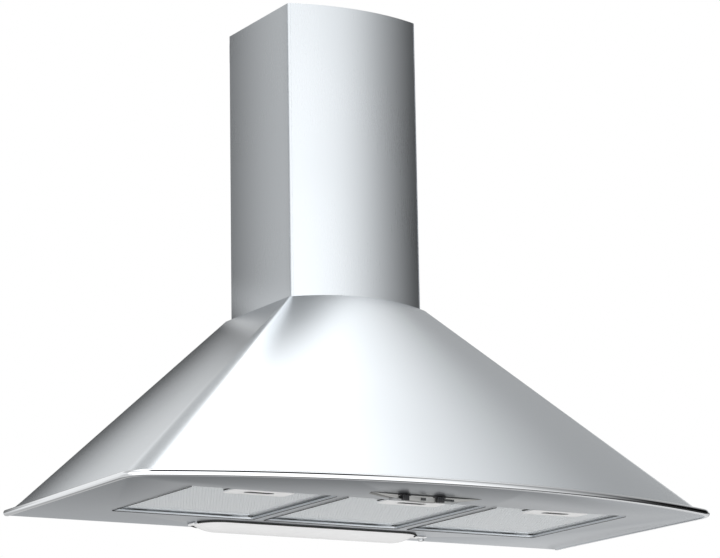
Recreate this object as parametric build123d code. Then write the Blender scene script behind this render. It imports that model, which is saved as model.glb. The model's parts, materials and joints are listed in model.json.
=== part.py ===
from build123d import *
import os
from math import atan2, cos, radians, sin, sqrt

# Wall-mounted chimney range hood with a curved canopy.
# X runs along the wall, -Y points into the room, +Z up.
# The model is drawn with z = 0 at the lowest line of the rim trim and is saved
# with its origin midway between the two wall-fixing holes, on the wall plane.

# ---------------------------------------------------------------- driving sizes (mm)
RIM_WIDTH = 900.0            # over the polished rim trim
RIM_NOSE = 4.0               # the trim's nose stands this far outside the panel outline
NOSE_HEIGHT = 8.4            # of the trim's half-round nose
PANEL_HALF = RIM_WIDTH / 2 - RIM_NOSE
PANEL_DEPTH = 483.0          # wall to the middle of the bowed front
FRONT_RADIUS = 1071.0        # plan radius of the bowed front
CORNER_RADIUS = 16.0         # plan radius of the two front corners
SHEET = 1.0                  # stainless sheet
TRIM_TOP = 9.5               # the canopy stands on the trim at this height
FOOT_INSET = 11.0            # canopy foot inside the panel outline

SEAM_Z = 297.5               # top of the canopy at its sides
SEAM_ARCH = 5.5              # the seam rises this much at the middle of the front
TOP_Z = 304.0                # section that the canopy is lofted to before the seam cut
TOP_HALF = 102.0
TOP_FRONT = -205.0
TOP_RADIUS = 229.0
FOLD_RADIUS = 2.0            # sharp folds

CHIMNEY_HALF = 104.0
CHIMNEY_FRONT = -200.5       # middle of the bowed front of the chimney
CHIMNEY_RADIUS = 301.6
CHIMNEY_BACK = -6.0          # the cover stands this far off the wall
CHIMNEY_TOP = 722.0
NEST_GAP = 1.0               # between the lower and the upper chimney
UPPER_BOTTOM = 316.0
UPPER_TOP = 718.0

HANG_Z = 200.0               # height of the wall-fixing holes
HANG_SPACING = 240.0
HANG_HOLE_R = 4.25
KEYHOLE_SPACING = 180.0
KEYHOLE_Z = 236.0
REAR_SHEET = 1.2

PANEL_Z = 1.0                # lower face of the underside panel
FILTER_PITCH = 230.0
WELL_WIDTH = 213.0
WELL_FRONT = -335.0
WELL_BACK = -100.0
WELL_TOP = 16.0
FILTER_Z = 5.0               # lower face of the filters, recessed in the wells
FILTER_THICK = 9.0
FILTER_SIDE_GAP = 1.0
FILTER_FRONT_GAP = 1.2
FRAME_LIP = 10.0
PLEAT_PITCH = 15.0
HINGE_Z = 5.2                # filters swing down about their rear lower edge
HINGE_Y = -101.0

FASCIA_X = -18.5             # the controls sit a little left of the middle
FASCIA_FRONT = -386.5
FASCIA_HALF = 85.0
FASCIA_DROP = 8.5
LIGHT_KNOB_X = FASCIA_X - 35.0
FAN_KNOB_X = FASCIA_X + 18.5
INDICATOR_X = FASCIA_X - 6.0
LIGHT_TRAVEL = 7.0           # two positions, to the left
FAN_TRAVEL = 21.0            # four positions, to the right
KNOB_Z = -3.4

LAMP_HALF = 182.0
LAMP_Y = -41.0
LAMP_HALF_DEPTH = 35.0
LAMP_BULGE = 11.0
LAMP_WALL = 1.8
PILLOW_STRIPS = 3            # flat strips from the cover's crown to each side
LAMP_TOP = 0.6               # upper face of the cover's rim, just under the panel
TRAY_TOP = 46.0
TRAY_HALF = 177.0
HOOK_X = -186.0              # the lamp cover's pivot at its left end
HOOK_Z = -1.3
SCREW_X = 183.0
SCREW_R = 1.6

DECK_Z = 272.0               # underside of the blower deck
DECK_SHEET = 1.2
DUCT_Y = -95.0
SPIGOT_R = 59.5              # for a 120 mm duct
SPIGOT_WALL = 2.0
SPIGOT_TOP = 330.0
FLAP_PIN_Z = 300.0
FLAP_PIN_OFFSET = 3.0
FLAP_PIN_R = 1.2
FLAP_PIN_END = 58.4          # the pins end inside the collar's wall
GLAND_X = 87.0
GLAND_Y = -30.0

SCROLL_Y = -140.0            # centre of the first quarter of the blower's scroll
SCROLL_Z = 160.0
SCROLL_STEP = 8.0            # the scroll's radius grows by this at each quarter
SCROLL_R = 76.0
HOUSING_HALF = 61.0
HOUSING_WALL = 2.0
WHEEL_R = 66.0
WHEEL_INNER_R = 54.0
WHEEL_HALF = 55.0
BLADES = 28
EYE_R = 50.0
SHAFT_R = 4.0
MOTOR_R = 36.0
BEARING_R = 9.0
RUNNING_GAP = 0.05           # radial clearance of shafts and pins that turn

WHEEL_Y = SCROLL_Y + SCROLL_STEP / 2
WHEEL_Z = SCROLL_Z + SCROLL_STEP / 2


# ---------------------------------------------------------------- helpers
def save(name, *solids):
    """Write one sub-part, moved so that the wall-fixing holes' midpoint is the origin."""
    moved = [solid.moved(Location((0, 0, -HANG_Z))) for solid in solids]
    shape = moved[0] if len(moved) == 1 else Compound(children=moved)
    export_step(shape, f"parts/{name}.step")


def block(x0, x1, y0, y1, z0, z1):
    """A box given by its six faces."""
    centre = Pos((x0 + x1) / 2, (y0 + y1) / 2, (z0 + z1) / 2)
    return centre * Box(x1 - x0, y1 - y0, z1 - z0)


def rod(x0, x1, y, z, radius):
    """A cylinder along X."""
    return Pos((x0 + x1) / 2, y, z) * Rot(0, 90, 0) * Cylinder(radius, x1 - x0)


def post(x, y, z0, z1, radius):
    """A cylinder along Z."""
    return Pos(x, y, (z0 + z1) / 2) * Cylinder(radius, z1 - z0)


def peg(x, z, y0, y1, radius):
    """A cylinder along Y."""
    return Pos(x, (y0 + y1) / 2, z) * Rot(90, 0, 0) * Cylinder(radius, y1 - y0)


def slot_post(x, y, z0, z1, length, radius):
    """A straight slot with round ends along X, standing up in Z."""
    shape = Pos(x, y, z0) * SlotOverall(length, 2 * radius)
    return extrude(shape, z1 - z0)


def front_edges(half, front_y, radius, corner, z):
    """Side, corner and bowed-front edges' key points of a plan outline with a bowed front."""
    centre_y = front_y + radius
    corner_x = half - corner
    corner_y = centre_y - sqrt((radius - corner) ** 2 - corner_x**2)
    reach = radius / (radius - corner)
    join_x = corner_x * reach
    join_y = centre_y + (corner_y - centre_y) * reach
    out_x = (join_x - corner_x) / corner + 1
    out_y = (join_y - corner_y) / corner
    length = sqrt(out_x**2 + out_y**2)
    mid_x = corner_x + corner * out_x / length
    mid_y = corner_y + corner * out_y / length
    return corner_y, (mid_x, mid_y, z), (join_x, join_y, z)


def plan_edges(half, front_y, radius, corner, back_y, z):
    """Open run of edges: right side, right corner, front, left corner, left side."""
    side_y, mid, join = front_edges(half, front_y, radius, corner, z)
    right = Line((half, back_y, z), (half, side_y, z))
    right_corner = ThreePointArc((half, side_y, z), mid, join)
    front = ThreePointArc(join, (0, front_y, z), (-join[0], join[1], z))
    left_corner = ThreePointArc((-join[0], join[1], z), (-mid[0], mid[1], z), (-half, side_y, z))
    left = Line((-half, side_y, z), (-half, back_y, z))
    return [right, right_corner, front, left_corner, left]


def plan_wire(half, front_y, radius, corner, back_y, z):
    """Closed plan outline: the run above and the straight back."""
    back = Line((-half, back_y, z), (half, back_y, z))
    return Wire([*plan_edges(half, front_y, radius, corner, back_y, z), back])


def plan_prism(half, front_y, radius, corner, back_y, z0, z1):
    return extrude(Face(plan_wire(half, front_y, radius, corner, back_y, z0)), z1 - z0, (0, 0, 1))


def rim_sizes(inset):
    """Half width, front, front radius and corner radius of the rim's outline, moved inwards."""
    return PANEL_HALF - inset, -PANEL_DEPTH + inset, FRONT_RADIUS - inset, CORNER_RADIUS - inset


def top_sizes(inset):
    """The same four sizes at the top of the canopy."""
    corner = max(FOLD_RADIUS - inset, 0.4)
    return TOP_HALF - inset, TOP_FRONT + inset, TOP_RADIUS - inset, corner


def outline_chords(sizes, back_y, z):
    """Points of a plan outline whose arcs are cut into chords."""
    edges = plan_edges(*sizes, back_y, z)
    points = []
    for edge, chords in zip(edges, OUTLINE_CHORDS):
        points += [edge @ (i / chords) for i in range(chords)]
    return [*points, edges[-1] @ 1]


def strip_solid(low, high):
    """Solid between two outlines with as many points each, closed by flat triangles."""
    faces = [Face(Wire.make_polygon(ring, close=True)) for ring in (low, high)]
    for i in range(len(low)):
        j = (i + 1) % len(low)
        for triangle in ((low[i], low[j], high[i]), (low[j], high[j], high[i])):
            faces.append(Face(Wire.make_polygon(triangle, close=True)))
    return Solid(Shell(faces))


def polygon_xz(points, y0, y1):
    """A flat plate parallel to the wall with the given outline."""
    wire = Wire.make_polygon([(x, y0, z) for x, z in points], close=True)
    return extrude(Face(wire), y1 - y0, (0, 1, 0))


def mirrored(shape):
    return mirror(shape, about=Plane.YZ)


# ---------------------------------------------------------------- canopy
def canopy_solid():
    """Ruled loft from the foot to the top: flat sides, conical corners, bowed front."""
    foot = plan_wire(*rim_sizes(FOOT_INSET), -REAR_SHEET, TRIM_TOP)
    top = plan_wire(*top_sizes(0.0), -REAR_SHEET, TOP_Z)
    return Solid.make_loft([foot, top], ruled=True)


def seam_cutter(drop=0.0):
    """Everything above the arched seam between canopy and chimney, lowered by drop."""
    reach = 160.0
    side = SEAM_Z - drop
    half = CHIMNEY_HALF + 4
    left = Line((-reach, -300, side), (-half, -300, side))
    arch = ThreePointArc((-half, -300, side), (0, -300, side + SEAM_ARCH), (half, -300, side))
    right = Line((half, -300, side), (reach, -300, side))
    up = Line((reach, -300, side), (reach, -300, TOP_Z + 30))
    over = Line((reach, -300, TOP_Z + 30), (-reach, -300, TOP_Z + 30))
    down = Line((-reach, -300, TOP_Z + 30), (-reach, -300, side))
    face = Face(Wire([left, arch, right, up, over, down]))
    return extrude(face, 320, (0, 1, 0))


CANOPY_WALL = 1.4            # plan thickness of the sloping sheet
RETURN_WIDTH = 18.0          # folded returns along the wall edges
LEDGE_INSET = 98.0           # inner half width of the ledge that carries the chimney
OUTLINE_CHORDS = (1, 4, 14, 4, 1)    # hidden inner face: side, corner, front, corner, side


def canopy_inner():
    """Space inside the canopy, whose hidden face is in flat strips."""
    foot = outline_chords(rim_sizes(FOOT_INSET + CANOPY_WALL), 5.0, TRIM_TOP)
    return strip_solid(foot, outline_chords(top_sizes(CANOPY_WALL), 5.0, TOP_Z))


def canopy_shell(inner):
    """One folded and rolled sheet, open below and behind, with a ledge for the chimney."""
    outer = canopy_solid()
    walls = outer - inner
    ledge_hole = plan_prism(LEDGE_INSET, -195, CHIMNEY_RADIUS, 2, 10, 250, 320)
    ledge = (outer & seam_cutter(SHEET)) - ledge_hole
    foot_half = PANEL_HALF - FOOT_INSET
    top_half = TOP_HALF
    flange_points = [
        (foot_half, TRIM_TOP),
        (top_half, TOP_Z),
        (top_half - RETURN_WIDTH, TOP_Z),
        (foot_half - RETURN_WIDTH, TRIM_TOP),
    ]
    back = -REAR_SHEET - SHEET
    right_return = polygon_xz(flange_points, back, -REAR_SHEET)
    tab = block(CHIMNEY_HALF - 2 * SHEET, CHIMNEY_HALF - SHEET, -120, -70, SEAM_Z - SHEET, 312)
    shell = walls + ledge + right_return + mirrored(right_return)
    shell = shell - seam_cutter()
    return shell + tab + mirrored(tab)


def nose_points(reach, low, high):
    """Half-round nose of the trim from its top to its bottom, in four straight steps."""
    middle, half = (low + high) / 2, (high - low) / 2
    turns = [radians(90 - 45 * i) for i in range(5)]
    return [(reach * cos(turn), middle + half * sin(turn)) for turn in turns]


def rim_trim():
    """Open hem profile with a tall round nose, bent round the sides and the front."""
    start_y = -REAR_SHEET
    path = Wire(plan_edges(*rim_sizes(0.0), start_y, 0.0))
    shoulder = 0.5 - FOOT_INSET
    inner = 1.0 - CORNER_RADIUS
    points = [(inner, TRIM_TOP), (shoulder, TRIM_TOP), *nose_points(RIM_NOSE, 0, NOSE_HEIGHT)]
    points += [(-3, 0), (-3, SHEET)]
    points += nose_points(RIM_NOSE - SHEET, SHEET, NOSE_HEIGHT - SHEET)[::-1]
    points += [(shoulder - 0.2, TRIM_TOP - SHEET), (inner, TRIM_TOP - SHEET)]
    section = Plane(origin=(PANEL_HALF, start_y, 0), x_dir=(1, 0, 0), z_dir=(0, -1, 0))
    profile = section * make_face(Polyline(*points, close=True))
    return sweep(profile, path=path)


def rear_panel():
    """Galvanised back plate with two keyholes and two round wall-fixing holes."""
    lift = 0.6
    slope = (PANEL_HALF - FOOT_INSET - TOP_HALF) / (TOP_Z - TRIM_TOP)
    top = SEAM_Z - 2
    half_top = TOP_HALF + slope * (TOP_Z - top) - lift
    half_foot = PANEL_HALF - FOOT_INSET - lift
    low = PANEL_Z + SHEET
    points = [
        (half_foot, TRIM_TOP),
        (half_top, top),
        (-half_top, top),
        (-half_foot, TRIM_TOP),
        (-half_foot, low),
        (half_foot, low),
    ]
    plate = polygon_xz(points, -REAR_SHEET, 0)
    for side in (-1, 1):
        plate -= peg(side * HANG_SPACING / 2, HANG_Z, -5, 5, HANG_HOLE_R)
        key_x = side * KEYHOLE_SPACING / 2
        plate -= peg(key_x, KEYHOLE_Z, -5, 5, 8)
        plate -= peg(key_x, KEYHOLE_Z + 14, -5, 5, HANG_HOLE_R)
        plate -= block(
            key_x - HANG_HOLE_R, key_x + HANG_HOLE_R, -5, 5, KEYHOLE_Z, KEYHOLE_Z + 14
        )
    return plate


def rear_rivets():
    """Rivets that join the rear panel to the canopy's returns."""
    slope = (PANEL_HALF - FOOT_INSET - TOP_HALF) / (TOP_Z - TRIM_TOP)
    rivets = []
    for z in (40, 125, 210, 285):
        x = TOP_HALF + slope * (TOP_Z - z) - RETURN_WIDTH / 2
        for side in (-1, 1):
            head = Pos(side * x, -REAR_SHEET - SHEET, z) * Rot(90, 0, 0)
            rivets.append(head * extrude(RegularPolygon(3.2, 10), 1.2, taper=40))
    return rivets


# ---------------------------------------------------------------- underside
def filter_centres():
    return [(-1, "left"), (0, "middle"), (1, "right")]


def tab_offsets():
    return (-65.0, 65.0)


def stadium(half, half_depth, z0, z1, x=0.0):
    return slot_post(x, LAMP_Y, z0, z1, 2 * half, half_depth)


def underside_panel():
    """Flat sheet with three flanged wells and openings for the lamps and the controls."""
    top = PANEL_Z + SHEET
    panel = extrude(Face(plan_wire(*rim_sizes(1.0), 0.0, PANEL_Z)), SHEET, (0, 0, 1))
    for index, _ in filter_centres():
        x = index * FILTER_PITCH
        x0, x1 = x - WELL_WIDTH / 2, x + WELL_WIDTH / 2
        ring = block(x0 - SHEET, x1 + SHEET, WELL_FRONT - SHEET, WELL_BACK + SHEET, PANEL_Z, WELL_TOP)
        panel += ring
        panel -= block(x0, x1, WELL_FRONT, WELL_BACK, PANEL_Z - 1, WELL_TOP + 1)
        for offset in tab_offsets():
            slot_x = x + offset
            panel -= block(slot_x - 10.5, slot_x + 10.5, WELL_BACK - 1, WELL_BACK + 3, 4.2, 13)
    lamp_flange = stadium(LAMP_HALF - 8, LAMP_HALF_DEPTH - 8, PANEL_Z, top + 5)
    panel += lamp_flange
    panel -= stadium(LAMP_HALF - 9, LAMP_HALF_DEPTH - 9, PANEL_Z - 1, top + 6)
    panel -= post(SCREW_X, LAMP_Y, PANEL_Z - 1, top + 1, 2.2)
    x0, x1, y0, y1 = switch_opening()
    panel -= block(x0, x1, y0, y1, PANEL_Z - 1, top + 1)
    return panel


# ---------------------------------------------------------------- filters
ROOF_Z = 10.0                # the handle's roof slides on two rails in its pocket


def filter_frame(x):
    """Channel frame, open inwards, with the handle's pocket and two rear tabs."""
    half = WELL_WIDTH / 2 - FILTER_SIDE_GAP
    y0, y1 = WELL_FRONT + FILTER_FRONT_GAP, HINGE_Y - 0.2
    z0, z1 = FILTER_Z, FILTER_Z + FILTER_THICK
    t = SHEET
    frame = block(x - half, x + half, y0, y1, z0, z1)
    frame -= block(x - half + t, x + half - t, y0 + t, y1 - t, z0 + t, z1 - t)
    lip = FRAME_LIP
    frame -= block(x - half + lip, x + half - lip, y0 + lip, y1 - lip, z0 - 1, z1 + 1)
    frame += block(x - 25, x + 25, y0, pocket_back() + t, z0, z1 - t)
    frame -= block(x - 24, x + 24, y0 + t, pocket_back(), z0 - 1, z1 - 2 * t)
    frame -= block(x - 15.2, x + 15.2, y0 - 1, y0 + t + 1, 7.9, 10.1)
    rail = block(x + 21, x + 24, y0 + t, pocket_back(), ROOF_Z - 1.2, ROOF_Z - 0.1)
    frame += [rail, Pos(-45, 0, 0) * rail]
    for offset in tab_offsets():
        frame += block(x + offset - 9, x + offset + 9, y1 - t, -95, z0, z0 + 0.8)
    return frame


def pocket_back():
    return WELL_FRONT + 43.0


def mesh_plate(x, z0, z1):
    """A flat sheet of mesh inside the channel, cut round the handle's pocket."""
    half = WELL_WIDTH / 2 - FILTER_SIDE_GAP - SHEET
    y0, y1 = WELL_FRONT + FILTER_FRONT_GAP + SHEET, HINGE_Y - 0.2 - SHEET
    plate = block(x - half, x + half, y0, y1, z0, z1)
    return plate - block(x - 25, x + 25, y0 - 1, pocket_back() + SHEET, z0 - 1, z1 + 1)


def filter_mesh(x):
    """Lower and upper mesh skins."""
    low = FILTER_Z + SHEET
    high = FILTER_Z + FILTER_THICK - SHEET
    return [mesh_plate(x, low, low + 0.8), mesh_plate(x, high - 0.8, high)]


def filter_core(x):
    """Pleated layer between the skins: a zigzag strip run along X."""
    low, high = FILTER_Z + SHEET + 0.8, FILTER_Z + FILTER_THICK - SHEET - 0.8
    y0 = pocket_back() + SHEET + 1.0
    y1 = HINGE_Y - 0.2 - SHEET - 0.5
    count = int((y1 - y0) / PLEAT_PITCH)
    pitch = (y1 - y0) / count
    lower = [(y0, low)]
    for i in range(count):
        lower += [(y0 + (i + 0.5) * pitch, high - 0.9), (y0 + (i + 1) * pitch, low)]
    upper = [(y, z + 0.9) for y, z in reversed(lower)]
    half = WELL_WIDTH / 2 - FILTER_SIDE_GAP - SHEET
    points = [(x - half, y, z) for y, z in lower + upper]
    return extrude(Face(Wire.make_polygon(points, close=True)), 2 * half, (1, 0, 0))


def latch(x):
    """Handle plate with a finger slot, its rear web, and a spring-loaded nose."""
    y0 = WELL_FRONT + 3.0
    plate = block(x - 45, x + 45, y0, y0 + 32, 0.8, 1.8)
    plate = chamfer(plate.edges().filter_by(Axis.Z), 3)
    plate -= slot_post(x, -316, 0, 3, 44, 7)
    front_web = block(x - 20, x + 20, y0 + 0.5, y0 + 8, 1.8, ROOF_Z)
    rear_web = block(x - 20, x + 20, -308.5, -306.5, 1.8, ROOF_Z)
    roof = block(x - 23.6, x + 23.6, y0 + 0.5, -306.5, ROOF_Z, ROOF_Z + 1)
    nose = block(x - 15, x + 15, WELL_FRONT + 0.3, y0 + 1, 8, 10)
    nose = chamfer(nose.edges().filter_by(Axis.X).group_by(Axis.Y)[0], 0.7)
    return plate + front_web + rear_web + roof + nose


def latch_spring(x):
    """Bent leaf spring between the handle's rear web and the pocket's back wall."""
    front, back = -306.5, pocket_back()
    knee = back - 0.72 * (back - front)
    strip = [(-17, back), (-10, knee), (-4, front), (4, front), (10, knee), (17, back)]
    strip += [(16.4, back), (9.6, knee + 0.4), (3.8, front + 0.4)]
    strip += [(-3.8, front + 0.4), (-9.6, knee + 0.4), (-16.4, back)]
    wire = Wire.make_polygon([(x + dx, y, 7) for dx, y in strip], close=True)
    return extrude(Face(wire), 3, (0, 0, 1))


# ---------------------------------------------------------------- controls
def switch_opening():
    """Opening in the panel for the two slider switches, hidden by the fascia."""
    return LIGHT_KNOB_X - 16, FAN_KNOB_X + 32, FASCIA_FRONT + 1.5, FASCIA_FRONT + 15.5


def smile(half, drop, y):
    """Flat-topped segment in a plane parallel to the wall, hanging below the panel."""
    top = Line((FASCIA_X + half, y, PANEL_Z), (FASCIA_X - half, y, PANEL_Z))
    low = ThreePointArc(
        (FASCIA_X - half, y, PANEL_Z),
        (FASCIA_X, y, PANEL_Z - drop),
        (FASCIA_X + half, y, PANEL_Z),
    )
    return Wire([top, low])


def knob_slot(x, left, right, y0, y1, margin):
    """Space swept by a slider's stem, with a margin all round."""
    half = 1.6 + margin
    return block(
        x - left - half, x + right + half, y0, y1, KNOB_Z - 1.2 - margin, KNOB_Z + 1.2 + margin
    )


def control_fascia():
    """Smile-shaped housing that tapers back to the panel, with slider slots in its face."""
    sections = [
        smile(FASCIA_HALF, FASCIA_DROP, FASCIA_FRONT),
        smile(FASCIA_HALF - 5, FASCIA_DROP - 1, FASCIA_FRONT + 15),
        smile(FASCIA_HALF - 35, 1.4, FASCIA_FRONT + 34),
    ]
    body = Solid.make_loft(sections, ruled=True)
    x0, x1, y0, y1 = switch_opening()
    body -= block(x0, x1, y0, y1, KNOB_Z - 2.6, PANEL_Z + 1)
    body -= knob_slot(LIGHT_KNOB_X, LIGHT_TRAVEL, 0, FASCIA_FRONT - 1, y0 + 1, 0.3)
    body -= knob_slot(FAN_KNOB_X, 0, FAN_TRAVEL, FASCIA_FRONT - 1, y0 + 1, 0.3)
    return body - indicator_block(-1.0, 3.0)


def indicator_block(front, back):
    """The indicator's window, between two depths from the fascia's face."""
    y0, y1 = FASCIA_FRONT + front, FASCIA_FRONT + back
    return block(INDICATOR_X - 4, INDICATOR_X + 4, y0, y1, KNOB_Z - 2.4, KNOB_Z + 1.2)


def indicator_lens():
    """Dark window in the fascia, standing 0.3 mm proud."""
    lens = indicator_block(-0.3, 1.5)
    return chamfer(lens.edges().group_by(Axis.Y)[0], 0.25)


def slider_switch(x, left, right):
    """Switch body behind the fascia's face, with the slot its slider runs in."""
    _, _, y0, y1 = switch_opening()
    body = block(x - left - 8, x + right + 8, y0, y1 - 1, KNOB_Z - 2.6, PANEL_Z + SHEET + 9)
    ears = block(x - left - 8, x + right + 8, y1 - 1, y1 + 3, PANEL_Z + SHEET, PANEL_Z + SHEET + 1.5)
    body -= knob_slot(x, left, right, y0 - 1, y0 + 6.5, 0.4)
    for i in range(3):
        pin_x = x - left - 4 + i * (left + right + 8) / 2
        body += block(pin_x - 1, pin_x + 1, y0 + 5, y0 + 5.8, PANEL_Z + SHEET + 9, PANEL_Z + SHEET + 14)
    return body + ears


def slider_knob(x):
    """Ribbed finger pad on a flat stem."""
    pad_front = FASCIA_FRONT - 5.0
    pad = block(x - 5, x + 5, pad_front, FASCIA_FRONT - 0.4, PANEL_Z - 8.6, PANEL_Z - 1.6)
    pad = fillet(pad.edges().filter_by(Axis.Z).group_by(Axis.Y)[0], 1.0)
    for i in range(3):
        rib_x = x + (i - 1) * 2.6
        pad -= block(rib_x - 0.45, rib_x + 0.45, pad_front - 1, pad_front + 0.6, -9, 0)
    stem = block(x - 1.6, x + 1.6, FASCIA_FRONT - 0.4, FASCIA_FRONT + 7, KNOB_Z - 1.2, KNOB_Z + 1.2)
    return pad + stem


# ---------------------------------------------------------------- lamps
def pillow(shrink, half_length):
    """Long domed shape with round ends, hanging below the cover's rim plane."""
    depth = LAMP_HALF_DEPTH - shrink
    bulge = LAMP_BULGE - shrink
    radius = (depth**2 + bulge**2) / (2 * bulge)
    run = half_length - LAMP_HALF_DEPTH
    angle = atan2(depth, radius - bulge)
    dome = []
    for i in range(PILLOW_STRIPS + 1):
        turn = angle * i / PILLOW_STRIPS
        dome.append((radius * sin(turn), LAMP_TOP - bulge + radius - radius * cos(turn)))
    section = [(0, LAMP_Y - y, z) for y, z in dome[:0:-1]] + [(0, LAMP_Y + y, z) for y, z in dome]
    face = Face(Wire.make_polygon(section, close=True))
    middle = Pos(-run, 0, 0) * extrude(face, 2 * run, (1, 0, 0))
    half_section = make_face(Polyline((0, LAMP_TOP), *dome, close=True))
    cap = Pos(0, LAMP_Y, 0) * revolve(Plane.XZ * half_section, Axis.Z)
    return middle + Pos(-run, 0, 0) * cap + Pos(run, 0, 0) * cap


def lamp_cover():
    """Translucent bulging cover, its hook on the left and its screw tab on the right."""
    shift = -7.0
    half = LAMP_HALF - 7.0
    cover = Pos(shift, 0, 0) * (pillow(0, half) - pillow(LAMP_WALL, half))
    tab = block(half + shift - 6, SCREW_X + 6, LAMP_Y - 7, LAMP_Y + 7, LAMP_TOP - 2, LAMP_TOP)
    tab = chamfer(tab.edges().filter_by(Axis.Z).group_by(Axis.X)[-1], 3)
    tab -= Pos(shift, 0, 0) * pillow(LAMP_WALL, half)
    cover = cover + tab - post(SCREW_X, LAMP_Y, -5, 2, SCREW_R + RUNNING_GAP)
    hook = block(HOOK_X, shift - half + 4, LAMP_Y - 9, LAMP_Y + 9, HOOK_Z - 0.4, LAMP_TOP)
    hook -= Pos(shift, 0, 0) * pillow(LAMP_WALL, half)
    barrel = peg(HOOK_X, HOOK_Z, LAMP_Y - 9, LAMP_Y + 9, 1.9)
    cover = cover + hook + barrel
    return cover - peg(HOOK_X, HOOK_Z, LAMP_Y - 12, LAMP_Y + 12, 1.0 + RUNNING_GAP)


def lamp_hinge():
    """Wire bail fixed to the panel, in which the cover's left end turns."""
    wire = peg(HOOK_X, HOOK_Z, LAMP_Y - 12, LAMP_Y + 12, 1.0)
    for side in (-1, 1):
        y = LAMP_Y + side * 11
        wire += block(HOOK_X - 1, HOOK_X + 1, y - 1, y + 1, HOOK_Z, PANEL_Z)
    return wire


def lamp_screw():
    """Thumb screw that holds the right end of the lamp cover."""
    head_top = LAMP_TOP - 2.1
    shank = post(SCREW_X, LAMP_Y, head_top, 5, SCREW_R)
    head = post(SCREW_X, LAMP_Y, head_top - 4, head_top, 4.5)
    head = chamfer(head.edges().group_by(Axis.Z)[0], 0.8)
    head -= block(SCREW_X - 5, SCREW_X + 5, LAMP_Y - 0.6, LAMP_Y + 0.6, head_top - 5, head_top - 2.8)
    return shank + head


def lamp_tray():
    """Open-bottomed reflector box above the lamp opening, flanged onto the panel."""
    x, y0, y1 = TRAY_HALF, LAMP_Y - 31, LAMP_Y + 31
    base = PANEL_Z + SHEET
    tray = block(-x, x, y0, y1, base, TRAY_TOP) - block(-x + 1, x - 1, y0 + 1, y1 - 1, base - 1, TRAY_TOP - 1)
    ledge = stadium(LAMP_HALF - 8, LAMP_HALF_DEPTH - 8, base - 1, base + 8)
    rim = block(-x - 2, x + 2, y0 - 2, y1 + 2, base, base + 1) - ledge
    return (tray + rim) - block(-x + 1, x - 1, y0 + 1, y1 - 1, base + 1, TRAY_TOP - 1) - ledge


LAMP_Z = 25.0                # axis of the candle lamps
CAP_R = 7.5
CAP_LENGTH = 24.0


def lamp_holders():
    """Two sockets, one at each end of the tray, facing each other."""
    end = TRAY_HALF - 1
    mouth = end - 32
    holder = rod(mouth, end, LAMP_Y, LAMP_Z, 13.5)
    holder -= rod(mouth - 1, mouth + CAP_LENGTH, LAMP_Y, LAMP_Z, CAP_R)
    return [mirrored(holder), holder]


def candle_lamps():
    """Two candle lamps: screw cap, round bulb and drawn-out tip."""
    tip = 96.0
    cap = [(0, 0), (0, CAP_R), (CAP_LENGTH, CAP_R)]
    glass = [(32, 13), (44, 17.5), (58, 16.5), (74, 9.5), (tip, 1.2), (tip, 0)]
    profile = Plane.XZ * make_face(Polyline(*cap, *glass, close=True))
    base = -(TRAY_HALF - 33 + CAP_LENGTH)
    lamp = Pos(base, LAMP_Y, LAMP_Z) * revolve(profile, Axis.X)
    return [lamp, mirrored(lamp)]


# ---------------------------------------------------------------- chimney
def chimney_prism(inset, back_y, z0, z1):
    return plan_prism(
        CHIMNEY_HALF - inset,
        CHIMNEY_FRONT + inset,
        CHIMNEY_RADIUS - inset,
        max(FOLD_RADIUS + 0.5 - inset, 0.5),
        back_y,
        z0,
        z1,
    )


def chimney_lower():
    """Folded cover: two flat sides and a bowed front; its foot follows the arched seam."""
    outer = chimney_prism(0, CHIMNEY_BACK, SEAM_Z - 10, CHIMNEY_TOP)
    inner = chimney_prism(SHEET, CHIMNEY_BACK + 10, SEAM_Z - 20, CHIMNEY_TOP + 10)
    below = block(-200, 200, -300, 20, SEAM_Z - 30, TOP_Z + 30) - seam_cutter()
    return (outer - inner) - below


def chimney_upper():
    """Telescopic cover inside the lower one, with hemmed rear edges."""
    inset = SHEET + NEST_GAP
    back = CHIMNEY_BACK - 2
    outer = chimney_prism(inset, back, UPPER_BOTTOM, UPPER_TOP)
    inner = chimney_prism(inset + SHEET, back - SHEET, UPPER_BOTTOM - 10, UPPER_TOP + 10)
    half = CHIMNEY_HALF - inset - 12
    gap = block(-half, half, back - 2, back + 2, UPPER_BOTTOM - 1, UPPER_TOP + 1)
    notch = block(-110, 110, back - SHEET, back + 2, UPPER_TOP - 45, UPPER_TOP + 1)
    wall_half = CHIMNEY_HALF - inset - SHEET
    notch = notch & block(-wall_half, wall_half, -20, 5, 300, UPPER_TOP + 10)
    cover = outer - inner - gap - notch
    for side in (-1, 1):
        cover -= rod(side * 95 - 10, side * 95 + 10, -25, UPPER_TOP - 20, 2.2)
    return cover


def chimney_bracket():
    """Wall bracket that holds the upper chimney: a plate with two folded ears."""
    half = CHIMNEY_HALF - 2 * SHEET - NEST_GAP
    z0, z1 = UPPER_TOP - 34, UPPER_TOP - 6
    bracket = block(-half, half, -2, 0, z0, z1)
    for side in (-1, 1):
        inner, outer = side * (half - 2), side * half
        bracket += block(min(inner, outer), max(inner, outer), -38, 0, z0, z1)
        bracket -= peg(side * 60, UPPER_TOP - 20, -5, 5, 2.75)
        bracket -= rod(side * half - 5, side * half + 5, -25, UPPER_TOP - 20, 2.2)
    return bracket


def bracket_screws():
    """Two screws through the ears, their heads inside the ears."""
    half = CHIMNEY_HALF - 2 * SHEET - NEST_GAP
    screws = []
    for side in (-1, 1):
        tip, head = side * (half + SHEET), side * (half - 2)
        back = side * (half - 4.2)
        shank = rod(min(tip, head), max(tip, head), -25, UPPER_TOP - 20, 2.2)
        cap = rod(min(head, back), max(head, back), -25, UPPER_TOP - 20, 4)
        screws.append(shank + cap)
    return screws


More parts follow.
